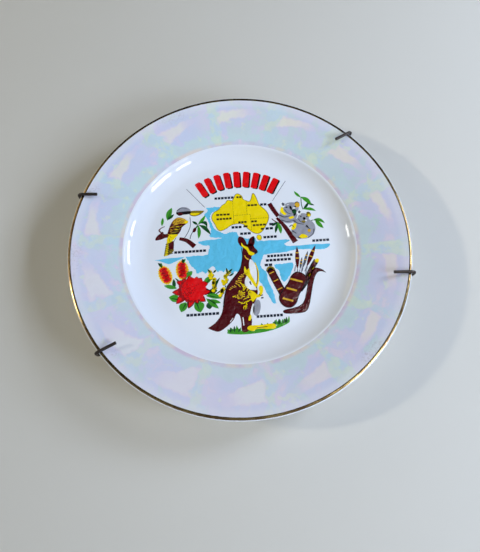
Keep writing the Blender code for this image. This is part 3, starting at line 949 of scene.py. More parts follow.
def print_title(inks):
    """Nine plain bars on an arc where a title would stand, each with a drop shadow, and two thin rays."""
    figure = Figure("print_title", inks)
    middle = (1, 3.5)
    low, high = 40.6, 51.8
    for index in range(9):
        reach = math.radians(-29 + 7.35 * index)
        figure.lay("black", 1, title_block(middle, reach, 2.0, low, high, offset=(0.9, -0.6)))
        figure.lay("red", 2, title_block(middle, reach, 2.0, low, high))
    figure.lay("dark_grey", 1, stroke([(-31, 45), (-20, 31.4)], 0.3), stroke([(32.5, 46.4), (23, 33)], 0.3))
    figure.finish()


def caption(start, length, height=1.6):
    """A row of plain dashes that stands where a line of small lettering would."""
    dashes = max(1, round(length / 2.1))
    step = length / dashes
    bars = []
    for index in range(dashes):
        left = start[0] + index * step
        right = left + step - 0.4
        low, high = start[1] - height / 2, start[1] + height / 2
        bars.append(corner_shape((left, low), (right, low), (right, high), (left, high)))
    return bars


def print_captions(inks):
    figure = Figure("print_captions", inks)
    on_glaze = (
        (-13.5, 37, 12.5), (15, 30.8, 4.4), (-4, 16.4, 6.6), (19.6, 17, 3), (17, 14.2, 5), (1, 11.8, 7),
        (15.2, 8.5, 8.6),
        (-40, 2.3, 19.8), (45, 4.1, 10.8), (16.5, -4.1, 15.8), (15.4, -6.8, 15.6), (14.4, -9.7, 5),
        (-34, -37.6, 19.6), (7, -41.2, 15.8),
    )
    for left, height, length in on_glaze:
        figure.lay("slate", 2, *caption((left, height), length))
    on_map = ((0.4, 37, 3.6), (7, 30.8, 6.4), (-13, 25.5, 8.8), (-13, 22.6, 9.8), (0.4, 19.6, 5.6),
              (8.6, 19.6, 3.8),
              (3.4, 16.6, 3), (9.2, 17, 8.6), (14, 14.2, 2.4))
    for left, height, length in on_map:
        figure.lay("dark_olive", 4, *caption((left, height), length, 1.3))
    figure.finish()


def print_perched_bird(inks):
    """A stout-billed bird on a bough, with a dark eye stripe and a barred tail."""
    figure = Figure("print_perched_bird", inks)
    figure.lay("maroon", 2,
               blob((-51.4, 11.2), (-50.4, 13.8), (-48.4, 15.4), (-46.6, 16.6), (-45.8, 15), (-42, 15),
                    (-41, 12.6),
                    (-45, 12.4), (-48, 11.4)),
               stroke([(-36.6, 11.2), (-32, 9.6), (-27.4, 5.4)], 2.0, 3.2),
               stroke([(-47.6, 16), (-49, 17.6), (-47.4, 19.2), (-45.4, 20)], 0.9, 0.4))
    figure.lay("dark_grey", 2,
               stroke([(-29.6, 26), (-29.4, 20), (-31, 15.4), (-33.4, 11.6)], 0.4),
               stroke([(-27.4, 16.6), (-29.4, 13), (-30, 10.6)], 0.5),
               stroke([(-38.6, 12), (-40.4, 9)], 0.35))
    figure.lay("olive", 2, blob((-44.4, 9.2), (-43, 8.8), (-40.4, 5), (-40.6, 3), (-43.4, 0.9),
                                (-46.2, 0.4), (-46, 2.4),
                                (-45.2, 6.4)))
    figure.lay("yellow", 3, blob((-44.4, 9), (-43.4, 8.8), (-43.6, 4), (-44.2, 0.9), (-45.6, 0.7),
                                 (-45.4, 2.4),
                                 (-44.9, 6.4)))
    figure.lay("maroon", 3, blob((-43.2, 9), (-40.6, 9.8), (-40, 9), (-40.3, 4.8), (-41.6, 4.6),
                                 (-43, 4.6)))
    for index in range(6):
        height = 8 - 1.25 * index
        left = -45.1 - 0.16 * index
        figure.lay("black", 4, stroke([(left, height), (-43.9, height + 0.1), (-43, height + 0.4)], 0.5,
                                      0.6))
    for height in (3.7, 2.6, 1.5):
        figure.lay("black", 4, stroke([(-43.4, height), (-42, height + 0.2), (-40.7, height + 0.6)], 0.5,
                                      0.4))
    figure.lay("maroon", 3, blob((-39.2, 24.6), (-36.6, 25.6), (-33.4, 24.6), (-31.2, 22.8), (-31, 21.6),
                                 (-33, 20.2), (-34.8, 18.6), (-35.6, 16.6), (-37, 14.6), (-40, 12.2),
                                 (-43.2, 11), (-44, 14),
                                 (-43.2, 17.4), (-41.6, 21.4)))
    figure.lay("ochre", 4, blob((-39.4, 24.4), (-36.6, 25.4), (-33.4, 24.5), (-31.6, 22.9), (-33, 21.2),
                                (-36, 21.4),
                                (-38.6, 20.6), (-40.4, 21.8)),
               *fur([(-42.8, 13), (-42.2, 17), (-40.6, 20.6)], 8, 1.7, 0.45, -50, 12, 0.9))
    figure.lay("maroon", 5, *fur([(-39.6, 24), (-36.4, 24.4), (-33, 23.4)], 8, 1.5, 0.4, -115, 13, 0.5),
               *fur([(-39.6, 22.2), (-36.6, 22.6), (-34, 22)], 6, 1.4, 0.4, -115, 14, 0.5))
    figure.lay("olive", 5, stroke([(-38.8, 19.4), (-36.6, 19.2), (-34.6, 19.9)], 0.9, 0.5),
               stroke([(-40, 17.8), (-37.6, 17.2), (-35.8, 18)], 0.9, 0.5),
               stroke([(-40.8, 15.6), (-38.8, 15.8), (-36.8, 16.4)], 0.8, 0.4))
    figure.lay("yellow", 6, stroke([(-38.2, 19.6), (-36.6, 19.4)], 0.4, 0.3),
               stroke([(-39.2, 17.8), (-37.4, 17.4)], 0.4),
               oval((-31.9, 22.1), 1.3, 0.9, 35))
    figure.lay("black", 6, stroke([(-38.8, 18.5), (-36.8, 18.3), (-35.4, 18.9)], 0.5, 0.3),
               stroke([(-40.6, 16.7), (-38.4, 16.4), (-36.4, 17)], 0.5, 0.3),
               stroke([(-42.8, 15.2), (-40.6, 14.6), (-37.6, 15)], 0.6, 0.8))
    figure.lay("yellow", 5, blob((-43.9, 12.2), (-42.4, 14.2), (-39.6, 14.4), (-37.4, 14), (-38.8, 12.4),
                                 (-40.6, 10.4),
                                 (-43, 8.8), (-44.3, 9.8)))
    figure.lay("olive", 6, *fur([(-42.9, 13.4), (-42.4, 11.4), (-42.8, 9.8)], 4, 1.2, 0.4, 20, 15, 0.5))
    figure.lay("white", 2, blob((-37.6, 27.6), (-33, 28), (-29.6, 27), (-29.6, 25), (-31.6, 24.2),
                                (-36, 25.4)))
    figure.lay("grey", 3, blob((-38, 29), (-36.8, 31.2), (-34.4, 32.4), (-31.2, 32), (-29.2, 30.4),
                               (-29, 28.8),
                               (-33, 28.6), (-36.4, 28.4)))
    figure.lay("dark_grey", 4, stroke([(-37.4, 30.2), (-34.8, 32), (-31.4, 31.6)], 0.8, 0.4))
    figure.lay("black", 4, blob((-38, 29), (-35, 29.4), (-29.2, 29.4), (-29.2, 27.8), (-31, 27.3),
                                (-33.4, 27.3),
                                (-35.8, 26.7), (-37.4, 27.5)))
    figure.lay("maroon", 5, oval((-35.4, 28), 1.6, 0.9, -5))
    figure.lay("dark_olive", 2, blob((-29.4, 29.2), (-25, 29.5), (-20.3, 29), (-20.3, 29), (-22.5, 27),
                                     (-26, 25.7),
                                     (-29.4, 26.6)))
    figure.lay("olive", 3, blob((-29.2, 29), (-25, 29.3), (-20.5, 28.9), (-20.5, 28.9), (-22.6, 27.2),
                                (-26, 25.9),
                                (-29.2, 26.8)))
    figure.lay("yellow", 4, blob((-28.8, 27.8), (-24, 27.8), (-23.6, 27.2), (-26, 26.3), (-28.8, 26.9)))
    figure.lay("green", 2,
               leaf((-43.6, 24), (-40.6, 32.6), 3.4, 0.5),
               leaf((-47.2, 20.4), (-46.4, 26.2), 1.7),
               leaf((-24.8, 19.8), (-19.8, 26), 2.0, -0.4),
               leaf((-24.6, 19.6), (-24.8, 10.4), 2.2, 0.5),
               leaf((-22.8, 19.4), (-18.6, 14.6), 2.2, 0.6))
    figure.lay("dark_green", 3,
               leaf((-43.4, 24.4), (-39.4, 28), 1.7),
               leaf((-24.8, 19.8), (-28.2, 22.4), 1.6),
               leaf((-24.4, 19.8), (-17, 12.4), 2.2, 0.8),
               leaf((-24.2, 20.4), (-19.2, 17), 2.2, 2.6),
               stroke([(-24.8, 19.4), (-26.4, 17.2)], 0.8),
               stroke([(-43.4, 25), (-41.6, 30)], 0.35, 0.2))
    figure.lay("maroon", 3, oval((-27, 16.4), 1.0, 1.7, -25))
    figure.finish()


def print_tree_animals(inks):
    """Two round grey furry animals, one above the other, clinging to a sloping bough."""
    figure = Figure("print_tree_animals", inks)
    figure.lay("maroon", 2,
               stroke([(20.8, 31.2), (23, 26.6), (25.6, 22)], 2.9, 2.6),
               stroke([(24.6, 21), (29, 14.8), (34.6, 4)], 1.6, 3.6),
               stroke([(21.4, 20.6), (24, 18.2), (27, 16.8)], 0.5, 0.9))
    figure.lay("green", 3,
               leaf((41.2, 34), (37.2, 38.8), 1.7, 0.3), leaf((41, 34.4), (47.2, 28.4), 2.8, 0.8),
               leaf((41.8, 25.8), (49.6, 24), 2.0, 0.8), leaf((46.8, 17.8), (54.2, 15.2), 2.2, 1.4),
               leaf((48.4, 18.4), (53, 12), 2.6, -0.3), leaf((24.8, 18), (26.2, 10), 2.4, 0.5))
    figure.lay("dark_green", 2,
               leaf((41.6, 25.6), (45.6, 30.6), 1.7, -0.4), leaf((44.4, 30), (49, 28), 1.4),
               leaf((24.8, 18), (21, 15.8), 1.8), leaf((24.8, 17.6), (22.8, 10.8), 1.8),
               stroke([(41.2, 34), (41, 29), (41.6, 25.6)], 0.5), stroke([(44.4, 17), (47, 18)], 0.5))
    figure.lay("grey", 3,
               blob((26, 21.6), (27.4, 25.4), (29.4, 28), (33.6, 29), (37.6, 27.6), (38.4, 24.2),
                    (37, 20.4), (35.6, 17.6),
                    (31, 16.8), (27.6, 18.6)),
               blob((34.2, 15.8), (36.2, 19), (40, 20.6), (44.6, 18.6), (47.6, 15), (47.4, 10.6), (44, 6.6),
                    (39.8, 5.8),
                    (35.6, 6.6), (33.2, 9.6), (33, 13)))
    figure.lay("dark_grey", 4,
               stroke([(26.4, 22.8), (29.4, 21.2), (33, 21.8)], 0.9, 0.4),
               stroke([(27.2, 19.4), (31, 18), (35, 18.6)], 0.7, 0.3),
               stroke([(34.8, 18.6), (37, 16.6), (41, 15.4)], 0.9, 0.4),
               stroke([(42, 14), (44.4, 12), (43.6, 9.6)], 0.8, 0.4),
               stroke([(33.4, 11.6), (35.8, 9.6)], 0.9, 0.5),
               stroke([(47, 12), (46, 8.6), (42.6, 6.4)], 0.8, 0.4))
    figure.lay("yellow", 5,
               blob((27.8, 27.4), (29, 28), (29.6, 25), (31, 23.2), (29.4, 22.6), (28, 24.2)),
               blob((32, 20.6), (34.6, 21.6), (35.4, 20.4), (33, 19.6)),
               blob((33, 13), (34.6, 16.2), (36.4, 16.4), (36, 14), (34.4, 12.2)),
               blob((37, 7), (39.2, 9), (41.6, 8.2), (42.4, 6.8), (39.4, 6.1)))
    figure.lay("ochre", 5, blob((43.4, 12), (44.8, 11.6), (44.4, 10), (42.8, 10.6)))
    figure.lay("black", 6,
               stroke([(32, 14.4), (33.6, 15.4), (34.8, 13.4)], 0.6, 0.3),
               stroke([(42.4, 14.6), (43.8, 13)], 0.8, 0.4),
               stroke([(36.8, 23.4), (35.4, 21.4)], 0.9, 0.5), stroke([(36.4, 7.2), (38, 6.4)], 0.5))
    figure.lay("grey", 5,
               blob((29.6, 28.6), (31.4, 30.4), (35, 31), (38.2, 29.8), (39, 27), (37.8, 24.2), (35, 22.8),
                    (32.2, 23.2),
                    (30, 25.4)),
               blob((37.8, 20.4), (39, 22.4), (41.6, 23), (44.2, 21.8), (44.8, 19.6), (43.2, 17.2),
                    (40.6, 16.6),
                    (38.4, 18)))
    figure.lay("white", 6, oval((29.1, 29.7), 1.6, 1.9, 20, 7, 0.12),
               oval((38.7, 23.4), 1.5, 1.6, 0, 7, 0.12),
               stroke([(31.8, 29.4), (33.4, 29.8)], 0.5, 0.3), oval((36, 27), 0.7, 0.5),
               oval((42.6, 18), 0.6, 0.4))
    figure.lay("dark_grey", 7, oval((29.5, 30), 0.9, 1.2, 20, 5, 0.12),
               oval((39.1, 24), 0.8, 0.9, 0, 5, 0.12),
               stroke([(30, 26.4), (31.6, 24), (34, 22.9)], 0.5, 0.3),
               stroke([(38, 19.4), (39.4, 17.2), (42, 16.6)], 0.6, 0.3))
    figure.lay("ochre", 6, oval((38.3, 29), 1.6, 1.8, -10, 7, 0.12))
    figure.lay("olive", 6, oval((44.7, 21.8), 1.5, 1.6, 10, 7, 0.12),
               blob((39.8, 17.8), (42.2, 17.9), (41.8, 16.3), (40.4, 16.3)))
    figure.lay("yellow", 7, oval((44.9, 21.2), 0.9, 0.8, 10), oval((28, 25.4), 0.8, 1.6, 8))
    figure.lay("dark_green", 6, blob((34.6, 25.8), (36.8, 26), (37.4, 24.2), (36.2, 22.9), (34.8, 23.6)))
    figure.lay("black", 8, oval((34, 27.2), 0.75, 1.5, 10), oval((31.4, 27.8), 0.7, 0.45),
               oval((36.9, 28), 0.55, 0.45),
               stroke([(36.8, 30.2), (38.4, 31.1), (39.8, 30)], 0.6, 0.3),
               stroke([(34.4, 25.4), (36.4, 25.2)], 0.6, 0.4),
               oval((41.7, 19.3), 0.9, 1.0), oval((39.7, 20.7), 0.45, 0.4), oval((43.5, 20.5), 0.4, 0.4),
               stroke([(43.5, 22.9), (44.7, 23.5), (45.8, 22.6)], 0.5, 0.3),
               stroke([(35.2, 22.6), (37, 22)], 0.8, 0.4))
    figure.finish()


def print_hopping_animal(inks):
    """An upright long-tailed hopping animal with big ears, standing side on, head turned to the right."""
    figure = Figure("print_hopping_animal", inks)
    figure.lay("maroon", 2, blob(
        (2.2, 3.2), (4.6, 4.6), (8, 4.4), (9.3, 2), (10.9, -0.2), (10, -1.9), (7.4, -3), (6.8, -5),
        (8.8, -8.6), (10.2, -13), (10, -19), (8.8, -23.4), (8.8, -27), (7, -32), (5, -37), (4.2, -42),
        (3.6, -46.4), (1.2, -49.6), (-2, -49.2), (-2.2, -44), (-2.8, -40), (-4.6, -38.8), (-6.8, -42.4),
        (-10.6, -45.8), (-15, -48.4), (-18.6, -47.8), (-21.8, -46.1), (-21.8, -46.1), (-17.6, -43.4),
        (-14, -39.2), (-12.2, -34), (-11.2, -28), (-9.2, -21.6), (-4.8, -16.2), (-1.2, -12), (0.6, -6.4),
        (1.4, -1),
    ))
    figure.lay("maroon", 2,
               blob((4.6, 2.8), (4.2, 6.4), (2.4, 9.4), (0.4, 10), (-0.7, 8.2), (-0.3, 5.2), (1.8, 2.8)),
               blob((5.4, 3.6), (5.8, 6.6), (7.2, 8.8), (9.4, 9.6), (9.7, 7), (8.8, 3.8)))
    figure.lay("black", 3,
               stroke([(1.1, 2.6), (1.3, -4), (-0.6, -11), (-4.8, -16.4), (-9, -21.6), (-11, -28),
                       (-12, -34)], 0.35, 0.7),
               oval((10, -0.9), 1.0, 0.7), oval((7.2, 1.9), 0.55, 0.45),
               blob((8.2, 5), (8.4, 8), (9.4, 9.2), (9.5, 6.6)))
    figure.lay("white", 3,
               blob((5.8, -5.4), (7.6, -6.6), (9.2, -11), (9.2, -17), (8.2, -21), (6.6, -17.6),
                    (5.2, -13.6), (5, -9)),
               blob((3.2, -15.6), (4.8, -17.4), (6.4, -21), (8.4, -24.6), (5, -24.6), (2.4, -22.8),
                    (1.6, -19.4)),
               blob((5.6, -33), (6.2, -36), (5.4, -40.4), (4.4, -42.6), (3.4, -40), (4.2, -36)))
    figure.lay("yellow", 4,
               blob((1.4, 5.8), (2.6, 4), (5, 2.6), (6.2, 0.2), (8.8, -1.5), (7.6, -3), (5.4, -2),
                    (4.2, 0.8), (2.4, 2.6),
                    (1.4, 3.6)),
               blob((2.2, -9.6), (3.4, -12), (4.8, -11), (5.6, -14.6), (7.4, -19), (8.6, -22), (7.8, -23.2),
                    (5.6, -19.6), (3.4, -16), (1.8, -13.6)),
               blob((4.2, -25), (6.4, -25.8), (8.6, -27.8), (10, -26.4), (9.6, -24), (10.6, -22.4),
                    (12, -23.2),
                    (12, -26.2), (10.2, -29.2), (7.6, -30), (5.4, -32), (4.4, -29)),
               stroke([(8.6, -7.6), (10.1, -13), (9.8, -19), (8.8, -22.4)], 0.5, 0.9))
    figure.lay("ochre", 4,
               *fur([(-4.4, -19.6), (-1.6, -17.2), (1, -13.6)], 7, 2.4, 0.8, -60, 21, 0.8),
               *fur([(-8, -24), (-5, -20.6)], 4, 2.0, 0.6, -70, 22, 0.6),
               *fur([(-4.6, -28), (-2, -26), (0.4, -26.6)], 6, 2.6, 0.8, -80, 23, 0.8),
               stroke([(2.8, -2.6), (3.6, -4.4), (5, -5.4)], 0.5, 0.9))
    figure.lay("yellow", 4,
               *fur([(-2.6, -20), (1, -20.4), (3.6, -23.6), (4.4, -28), (3.6, -32)], 13, 2.6, 0.75, -62, 24,
                    0.9),
               *fur([(-1.6, -23.8), (1.2, -26), (1.4, -30)], 7, 2.4, 0.65, -70, 25, 0.8),
               *fur([(-6.8, -28.4), (-4, -30), (-1.4, -33)], 5, 2.2, 0.6, 40, 26, 0.9),
               *fur([(2.2, -32), (0.6, -34.6)], 4, 2.2, 0.7, 30, 27, 0.6),
               blob((3.6, -39.6), (2.4, -41.4), (2.2, -43), (3.2, -43.2), (4, -41.4)))
    figure.lay("grey", 3, oval((7.6, -35.8), 2.2, 5.0, -12))
    figure.lay("black", 5,
               stroke([(4.6, -19.4), (5.4, -21.6)], 1.0, 0.5), stroke([(10.6, -30), (12, -30)], 1.0, 0.7),
               stroke([(9.4, -27.6), (10.8, -28.6), (11.8, -28)], 0.5))
    figure.lay("white", 5, stroke([(-1, -41), (-0.8, -46)], 0.7, 0.5),
               stroke([(-8.6, -43.2), (-6.8, -41)], 0.4, 0.3))
    figure.finish()


def print_grass(inks):
    """The tuft that the hopping animal stands on, and its long hind foot."""
    figure = Figure("print_grass", inks)
    figure.lay("green", 1,
               blob((-10.8, -49.8), (-8.4, -47.8), (-4, -47.6), (-2, -49), (2, -48.8), (9, -48),
                    (17, -47.6), (22, -45.6), (26, -44.8), (24.6, -46.6), (17, -49.4), (9, -50.8),
                    (0, -51.2),
                    (-6, -50.8)))
    blades = random.Random(7)
    for first, last, count, height in ((-10.4, -3.4, 12, 3.4), (8.6, 13.4, 8, 2.8), (16, 25.6, 17, 3.4)):
        for index in range(count):
            foot = first + (last - first) * (index + 0.5) / count
            ground = -49.6 + max(0.0, foot) * 0.13
            tip = (foot + blades.uniform(-0.6, 1.3), ground + height * blades.uniform(0.6, 1.25))
            colour, level = ("dark_green", 3) if index % 4 == 2 else ("green", 2)
            figure.lay(colour, level, leaf((foot, ground), tip, 1.05))
    figure.lay("yellow", 4, blob((1, -47.6), (3, -46.2), (9, -46.3), (15.6, -45.8), (17.8, -47),
                                 (17, -48.8),
                                 (12, -48.9), (8, -48.6), (5, -49.6), (2.4, -49)))
    figure.lay("maroon", 5, stroke([(6.4, -47.9), (9.6, -47.7), (12.8, -47.5)], 0.5, 0.4))
    figure.lay("green", 5, blob((5.4, -49), (8, -48.4), (12, -49), (9, -50), (6, -50)))
    figure.finish()


def bottle_bloom(figure, middle, tilt, tip):
    """An upright bristly flower spike: a red core in a yellow fringe, with a leafy tip."""
    figure.lay("yellow", 1, oval(middle, 3.9, 6.2, tilt, 23, 0.06))
    figure.lay("orange", 2, oval(middle, 3.3, 5.6, tilt, 19, 0.07))
    lean = Matrix.Rotation(math.radians(tilt), 2)
    for index in range(4):
        spot = Vector(middle) + lean @ Vector((0, 3.5 - 2.3 * index))
        figure.lay("red", 3, oval(spot, 2.5, 1.5, tilt, 7, 0.08))
        crease = spot + lean @ Vector((0.5 * (-1) ** index, 0.2))
        figure.lay("deep_red", 4, oval(crease, 1.3, 0.42, tilt + 12 * (-1) ** index))
    for sideways, colour in ((-0.9, "dark_green"), (1.1, "green")):
        point = (tip[0] + sideways, tip[1] - abs(sideways) * 0.6)
        base = Vector(middle).lerp(Vector(tip), 0.55)
        figure.lay(colour, 4, leaf(base, point, 1.7, 0.3 * sideways))


def print_flowers(inks):
    """A bunch of wild flowers: two bristly spikes, a big red bloom, and sprays of yellow balls."""
    figure = Figure("print_flowers", inks)
    figure.lay("green", 2,
               leaf((-39, -20.6), (-46.8, -18.4), 2.6), leaf((-33.6, -14), (-29.4, -10.4), 3.2),
               leaf((-37.4, -28.4), (-44, -25.8), 4.6, -0.4), leaf((-33.8, -29.6), (-37, -35.4), 4.8, -0.5),
               leaf((-28.4, -29.4), (-25.6, -36.4), 6.2, 0.9), leaf((-22, -28), (-14.8, -34.8), 3.0),
               leaf((-22, -26.4), (-12.6, -28.6), 3.2, 0.6), leaf((-23, -19.6), (-17.4, -14.6), 3.4, 0.5),
               leaf((-20.4, -29), (-13.4, -31.4), 2.4))
    figure.lay("dark_green", 1,
               leaf((-40.6, -21), (-40.8, -14.6), 2.2), leaf((-36.4, -17.8), (-40, -14), 1.0),
               leaf((-19.4, -27), (-13, -15.6), 2.0, 0.6), leaf((-22, -25), (-15, -23.6), 3.6),
               leaf((-20.6, -30.4), (-20, -34.8), 3.8), leaf((-17, -24.6), (-15.4, -20), 1.6),
               leaf((-35, -16.4), (-31.6, -9.8), 2.0), leaf((-18, -27), (-9.6, -21.8), 0.8))
    figure.lay("dark_green", 3,
               stroke([(-37.8, -27.8), (-42.6, -26.6)], 1.0, 0.3),
               stroke([(-34.2, -30.6), (-36.2, -34)], 1.0, 0.3),
               stroke([(-27.8, -30.4), (-26.2, -34.8)], 1.1, 0.3),
               stroke([(-20, -26.6), (-15, -28)], 0.8, 0.3),
               stroke([(-20.6, -28.6), (-15.8, -32.6)], 0.8, 0.3),
               stroke([(-21.6, -19), (-18.4, -15.4)], 0.8, 0.3))
    bottle_bloom(figure, (-45.8, -11.8), 20, (-49.2, -3.2))
    bottle_bloom(figure, (-35.5, -9.4), 3, (-34.4, -1.6))
    centre = Vector((-29.2, -22.2))
    bract_tips = ((-31.4, -13), (-26.8, -14), (-23.9, -15), (-39.3, -16.4), (-20.2, -18.5), (-18.8, -23.9),
                  (-42.1, -22.9), (-39.9, -30.2), (-32.8, -33.5), (-22.3, -30), (-35.6, -14.6),
                  (-26.6, -31))
    for index, tip in enumerate(bract_tips):
        tip = Vector(tip)
        base = centre.lerp(tip, 0.3)
        figure.lay("maroon" if index % 3 == 2 else "deep_red", 3, leaf(base, tip, 4.4, 0.5 * (-1) ** index))
        figure.lay("red", 4, leaf(base, tip.lerp(centre, 0.07), 2.7, 0.8 * (-1) ** index))
    figure.lay("deep_red", 5, oval((-30.4, -22.6), 8.2, 7.2, 0, 19, 0.05))
    figure.lay("red", 6, oval((-29, -21.8), 7.4, 7.1, 0, 23, 0.04))
    specks = random.Random(17)
    for index in range(64):
        spot = (-32.4 + specks.gauss(0, 2.4), -23 + specks.gauss(0, 3))
        if math.hypot(spot[0] + 29, spot[1] + 21.8) < 6.8:
            figure.lay("deep_red", 7, oval(spot, 0.34, 0.28, 0, steps=8))
    balls = random.Random(3)
    for start, end, count in (((-18.4, -11.4), (-17, -23), 13), ((-8.4, -12.4), (-11.4, -19.4), 9),
                              ((-11.4, -22.6), (-14, -26.4), 6)):
        for index in range(count):
            spot = Vector(start).lerp(Vector(end), index / (count - 1))
            spot += Vector((balls.uniform(-1.3, 1.3), balls.uniform(-0.5, 0.5)))
            figure.lay("olive", 3, oval(spot + Vector((0.25, -0.25)), 1.15, 1.1, steps=14))
            figure.lay("yellow", 4, oval(spot, 1.0, 1.0, steps=14))
    figure.lay("dark_green", 5,
               leaf((-18.4, -12.4), (-20.2, -9.8), 1.0), leaf((-17, -12.6), (-15, -10.6), 1.1),
               leaf((-8.4, -13.4), (-8.8, -9.8), 1.2), leaf((-8, -13), (-5.2, -10.6), 1.2),
               leaf((-7.6, -15.2), (-4.6, -13.6), 1.2), leaf((-10.4, -21.8), (-9.6, -21), 0.9))
    figure.finish()


def print_wooden_tools(inks):
    """Plain wooden things: a barred club, a shield with three plain bands, a throwing stick and darts."""
    figure = Figure("print_wooden_tools", inks)
    for tip, foot, width in (((35.2, 1), (34, -13.6), 2.6), ((46.6, 1.2), (39.6, -12.6), 2.6),
                             ((41.6, -2.2), (37.4, -13), 1.7), ((37.6, -6), (35.4, -14), 1.4)):
        tip, foot = Vector(tip), Vector(foot)
        shade = "maroon" if width > 2 else "dark_grey"
        figure.lay(shade, 2, leaf(foot, tip, width))
        for part in (0.28, 0.52):
            band = tip.lerp(foot, part)
            across = Vector((foot.y - tip.y, tip.x - foot.x)).normalized() * width * 0.42
            figure.lay("ochre", 3, stroke([band - across, band + across], 0.7))
        figure.lay("dark_grey", 2, stroke([foot, foot + (foot - tip) * 0.2], 0.5))
    figure.lay("grey", 1, stroke([(33.2, -11), (32, -15)], 0.8), stroke([(37.8, -10), (36, -16)], 0.8),
               stroke([(40, -12), (38.4, -18)], 1.0))
    stick = blob((51, -17), (51, -17), (48.6, -14.6), (44.6, -13.4), (41.8, -15.4), (40, -19.6), (38, -27),
                 (35.8, -33.4), (33.4, -36), (29, -37.4), (23.8, -38.2), (22.8, -39.4), (24.6, -40.6),
                 (33, -40.8), (36.8, -39.6),
                 (38.8, -36), (40.8, -29), (43.2, -21), (45.6, -16.8), (48.2, -16))
    figure.lay("black", 2, stick)
    figure.lay("maroon", 3, grown(stick, -0.35))
    figure.lay("black", 4, *fur([(42.4, -17), (39.4, -27), (37, -35)], 9, 1.8, 0.4, 6, 31, 0.8),
               *fur([(35, -38.8), (26, -39.4)], 5, 1.8, 0.35, 4, 32, 0.5))
    figure.lay("black", 3, stroke([(46, -8.8), (42, -14.6), (38, -22), (34, -27)], 3.2, 3.0))
    figure.lay("maroon", 4, stroke([(45.4, -9.6), (41.8, -14.8), (38, -21.6)], 1.7, 1.3))
    figure.lay("yellow", 4, oval((46.3, -9), 1.5, 1.2, 50), oval((43, -13.4), 1.3, 0.8, 55),
               oval((40.4, -17.6), 1.3, 0.8, 55))
    figure.lay("black", 4, stroke([(17.6, -12.6), (20.4, -20), (24, -28.6)], 4.9, 4.6),
               oval((17.5, -12.9), 2.45, 1.9, 20))
    figure.lay("maroon", 5, stroke([(17.9, -13.4), (20.6, -20.4), (23.8, -28)], 3.9, 3.6))
    figure.lay("olive", 6, stroke([(15.5, -13.2), (16.2, -11.6), (17.8, -11), (19.4, -11.8), (20, -13)],
                                  0.9, 0.9))
    for x, y in ((18.2, -14.8), (20.3, -19.8), (22.2, -25.2)):
        figure.lay("ochre", 6, stroke([(x - 1.5, y - 0.6), (x + 1.5, y + 0.6)], 0.6))
    shield = blob((33.4, -15.4), (37.4, -17.2), (38.6, -20.4), (36.4, -24.6), (33, -30), (31, -34.6),
                  (28, -36.8),
                  (24.6, -36.4), (22, -33.8), (21.4, -30.2), (23.6, -26.6), (27.4, -22), (30, -17.6))
    figure.lay("black", 8, grown(shield, 0.25))
    figure.lay("maroon", 9, grown(shield, -0.3))
    for x, y, reach in ((32.6, -20.6, 3.8), (29.2, -26, 3.2), (26.4, -32.2, 3.2)):
        figure.lay("ochre", 10, stroke([(x - 0.94 * reach, y + 0.33 * reach),
                                        (x + 0.94 * reach, y - 0.33 * reach)], 1.1))
    figure.finish()


def add_printed_picture():
    inks = make_inks()
    for draw in (print_sky, print_map, print_title, print_captions, print_perched_bird, print_tree_animals,
                 print_hopping_animal, print_grass, print_flowers, print_wooden_tools):
        draw(inks)


# ---------------------------------------------------------------- wall, floor, lights and camera

def from_viewer(place):
    """A place given right, away and up for the viewer, from the plate's middle, in the frame."""
    return Matrix.Translation(PLATE_CENTRE) @ VIEWER_AXES @ Vector(place)


def painted_plaster(name, colour, see_through_back):
    """Plain pale paint with a roller's stipple. The wall's back doesn't show, so the hanger does."""
    material, tree, shader, place = start_material(name, Roughness=0.85)
    stipple = noise_at(tree, place, 1.4 * MM, detail=3).outputs["Fac"]
    cloud = noise_at(tree, place, 0.25, detail=3).outputs["Fac"]
    dull = tuple(channel * 0.95 for channel in colour)
    set_input(tree, shader.inputs["Base Color"], mix_colours(tree, cloud, dull, colour))
    set_input(tree, shader.inputs["Normal"], bump_from(tree, stipple, 0.05 * MM, 0.35))
    if see_through_back:
        clear = add_node(tree, "ShaderNodeBsdfTransparent").outputs[0]
        back = add_node(tree, "ShaderNodeNewGeometry").outputs["Backfacing"]
        switch = add_node(tree, "ShaderNodeMixShader", {0: back, 1: shader.outputs[0], 2: clear})
        tree.links.new(switch.outputs[0], tree.nodes["Material Output"].inputs["Surface"])
    return material


def add_stage_plane(name, size, location, rotation, material):
    half = size / 2
    mesh = bpy.data.meshes.new(name)
    mesh.from_pydata([(-half, -half, 0), (half, -half, 0), (half, half, 0), (-half, half, 0)], [],
                     [(0, 1, 2, 3)])
    mesh.materials.append(material)
    plane = bpy.data.objects.new(name, mesh)
    plane.location = location
    plane.rotation_euler = rotation
    bpy.context.scene.collection.objects.link(plane)
    return plane


def add_stage():
    wall_y = cad_box[1][1] + WALL_GAP
    wall = painted_plaster("wall_paint", (0.66, 0.63, 0.545), True)
    plane = add_stage_plane("wall", WALL_SIZE, (0, wall_y, PLATE_CENTRE.z), (math.pi / 2, 0, 0), wall)
    # Nothing stands behind the wall to be shaded by it, and the light there has to reach the hanger.
    plane.visible_shadow = False
    floor = painted_plaster("floor_paint", (0.70, 0.70, 0.70), False)
    add_stage_plane("floor", FLOOR_SIZE, (0, 0, FLOOR_LEVEL), (0, 0, 0), floor)


def add_area_light(name, place, target, size, power, colour, height=None):
    """A rectangular light, or a round one where no height is given, aimed at target."""
    data = bpy.data.lights.new(name, "AREA")
    data.shape = "DISK" if height is None else "RECTANGLE"
    data.size = size
    if height is not None:
        data.size_y = height
    data.energy = power
    data.color = colour
    light = bpy.data.objects.new(name, data)
    light.location = place
    light.rotation_euler = (target - place).to_track_quat("-Z", "Y").to_euler()
    light.visible_camera = False
    bpy.context.scene.collection.objects.link(light)
    return light


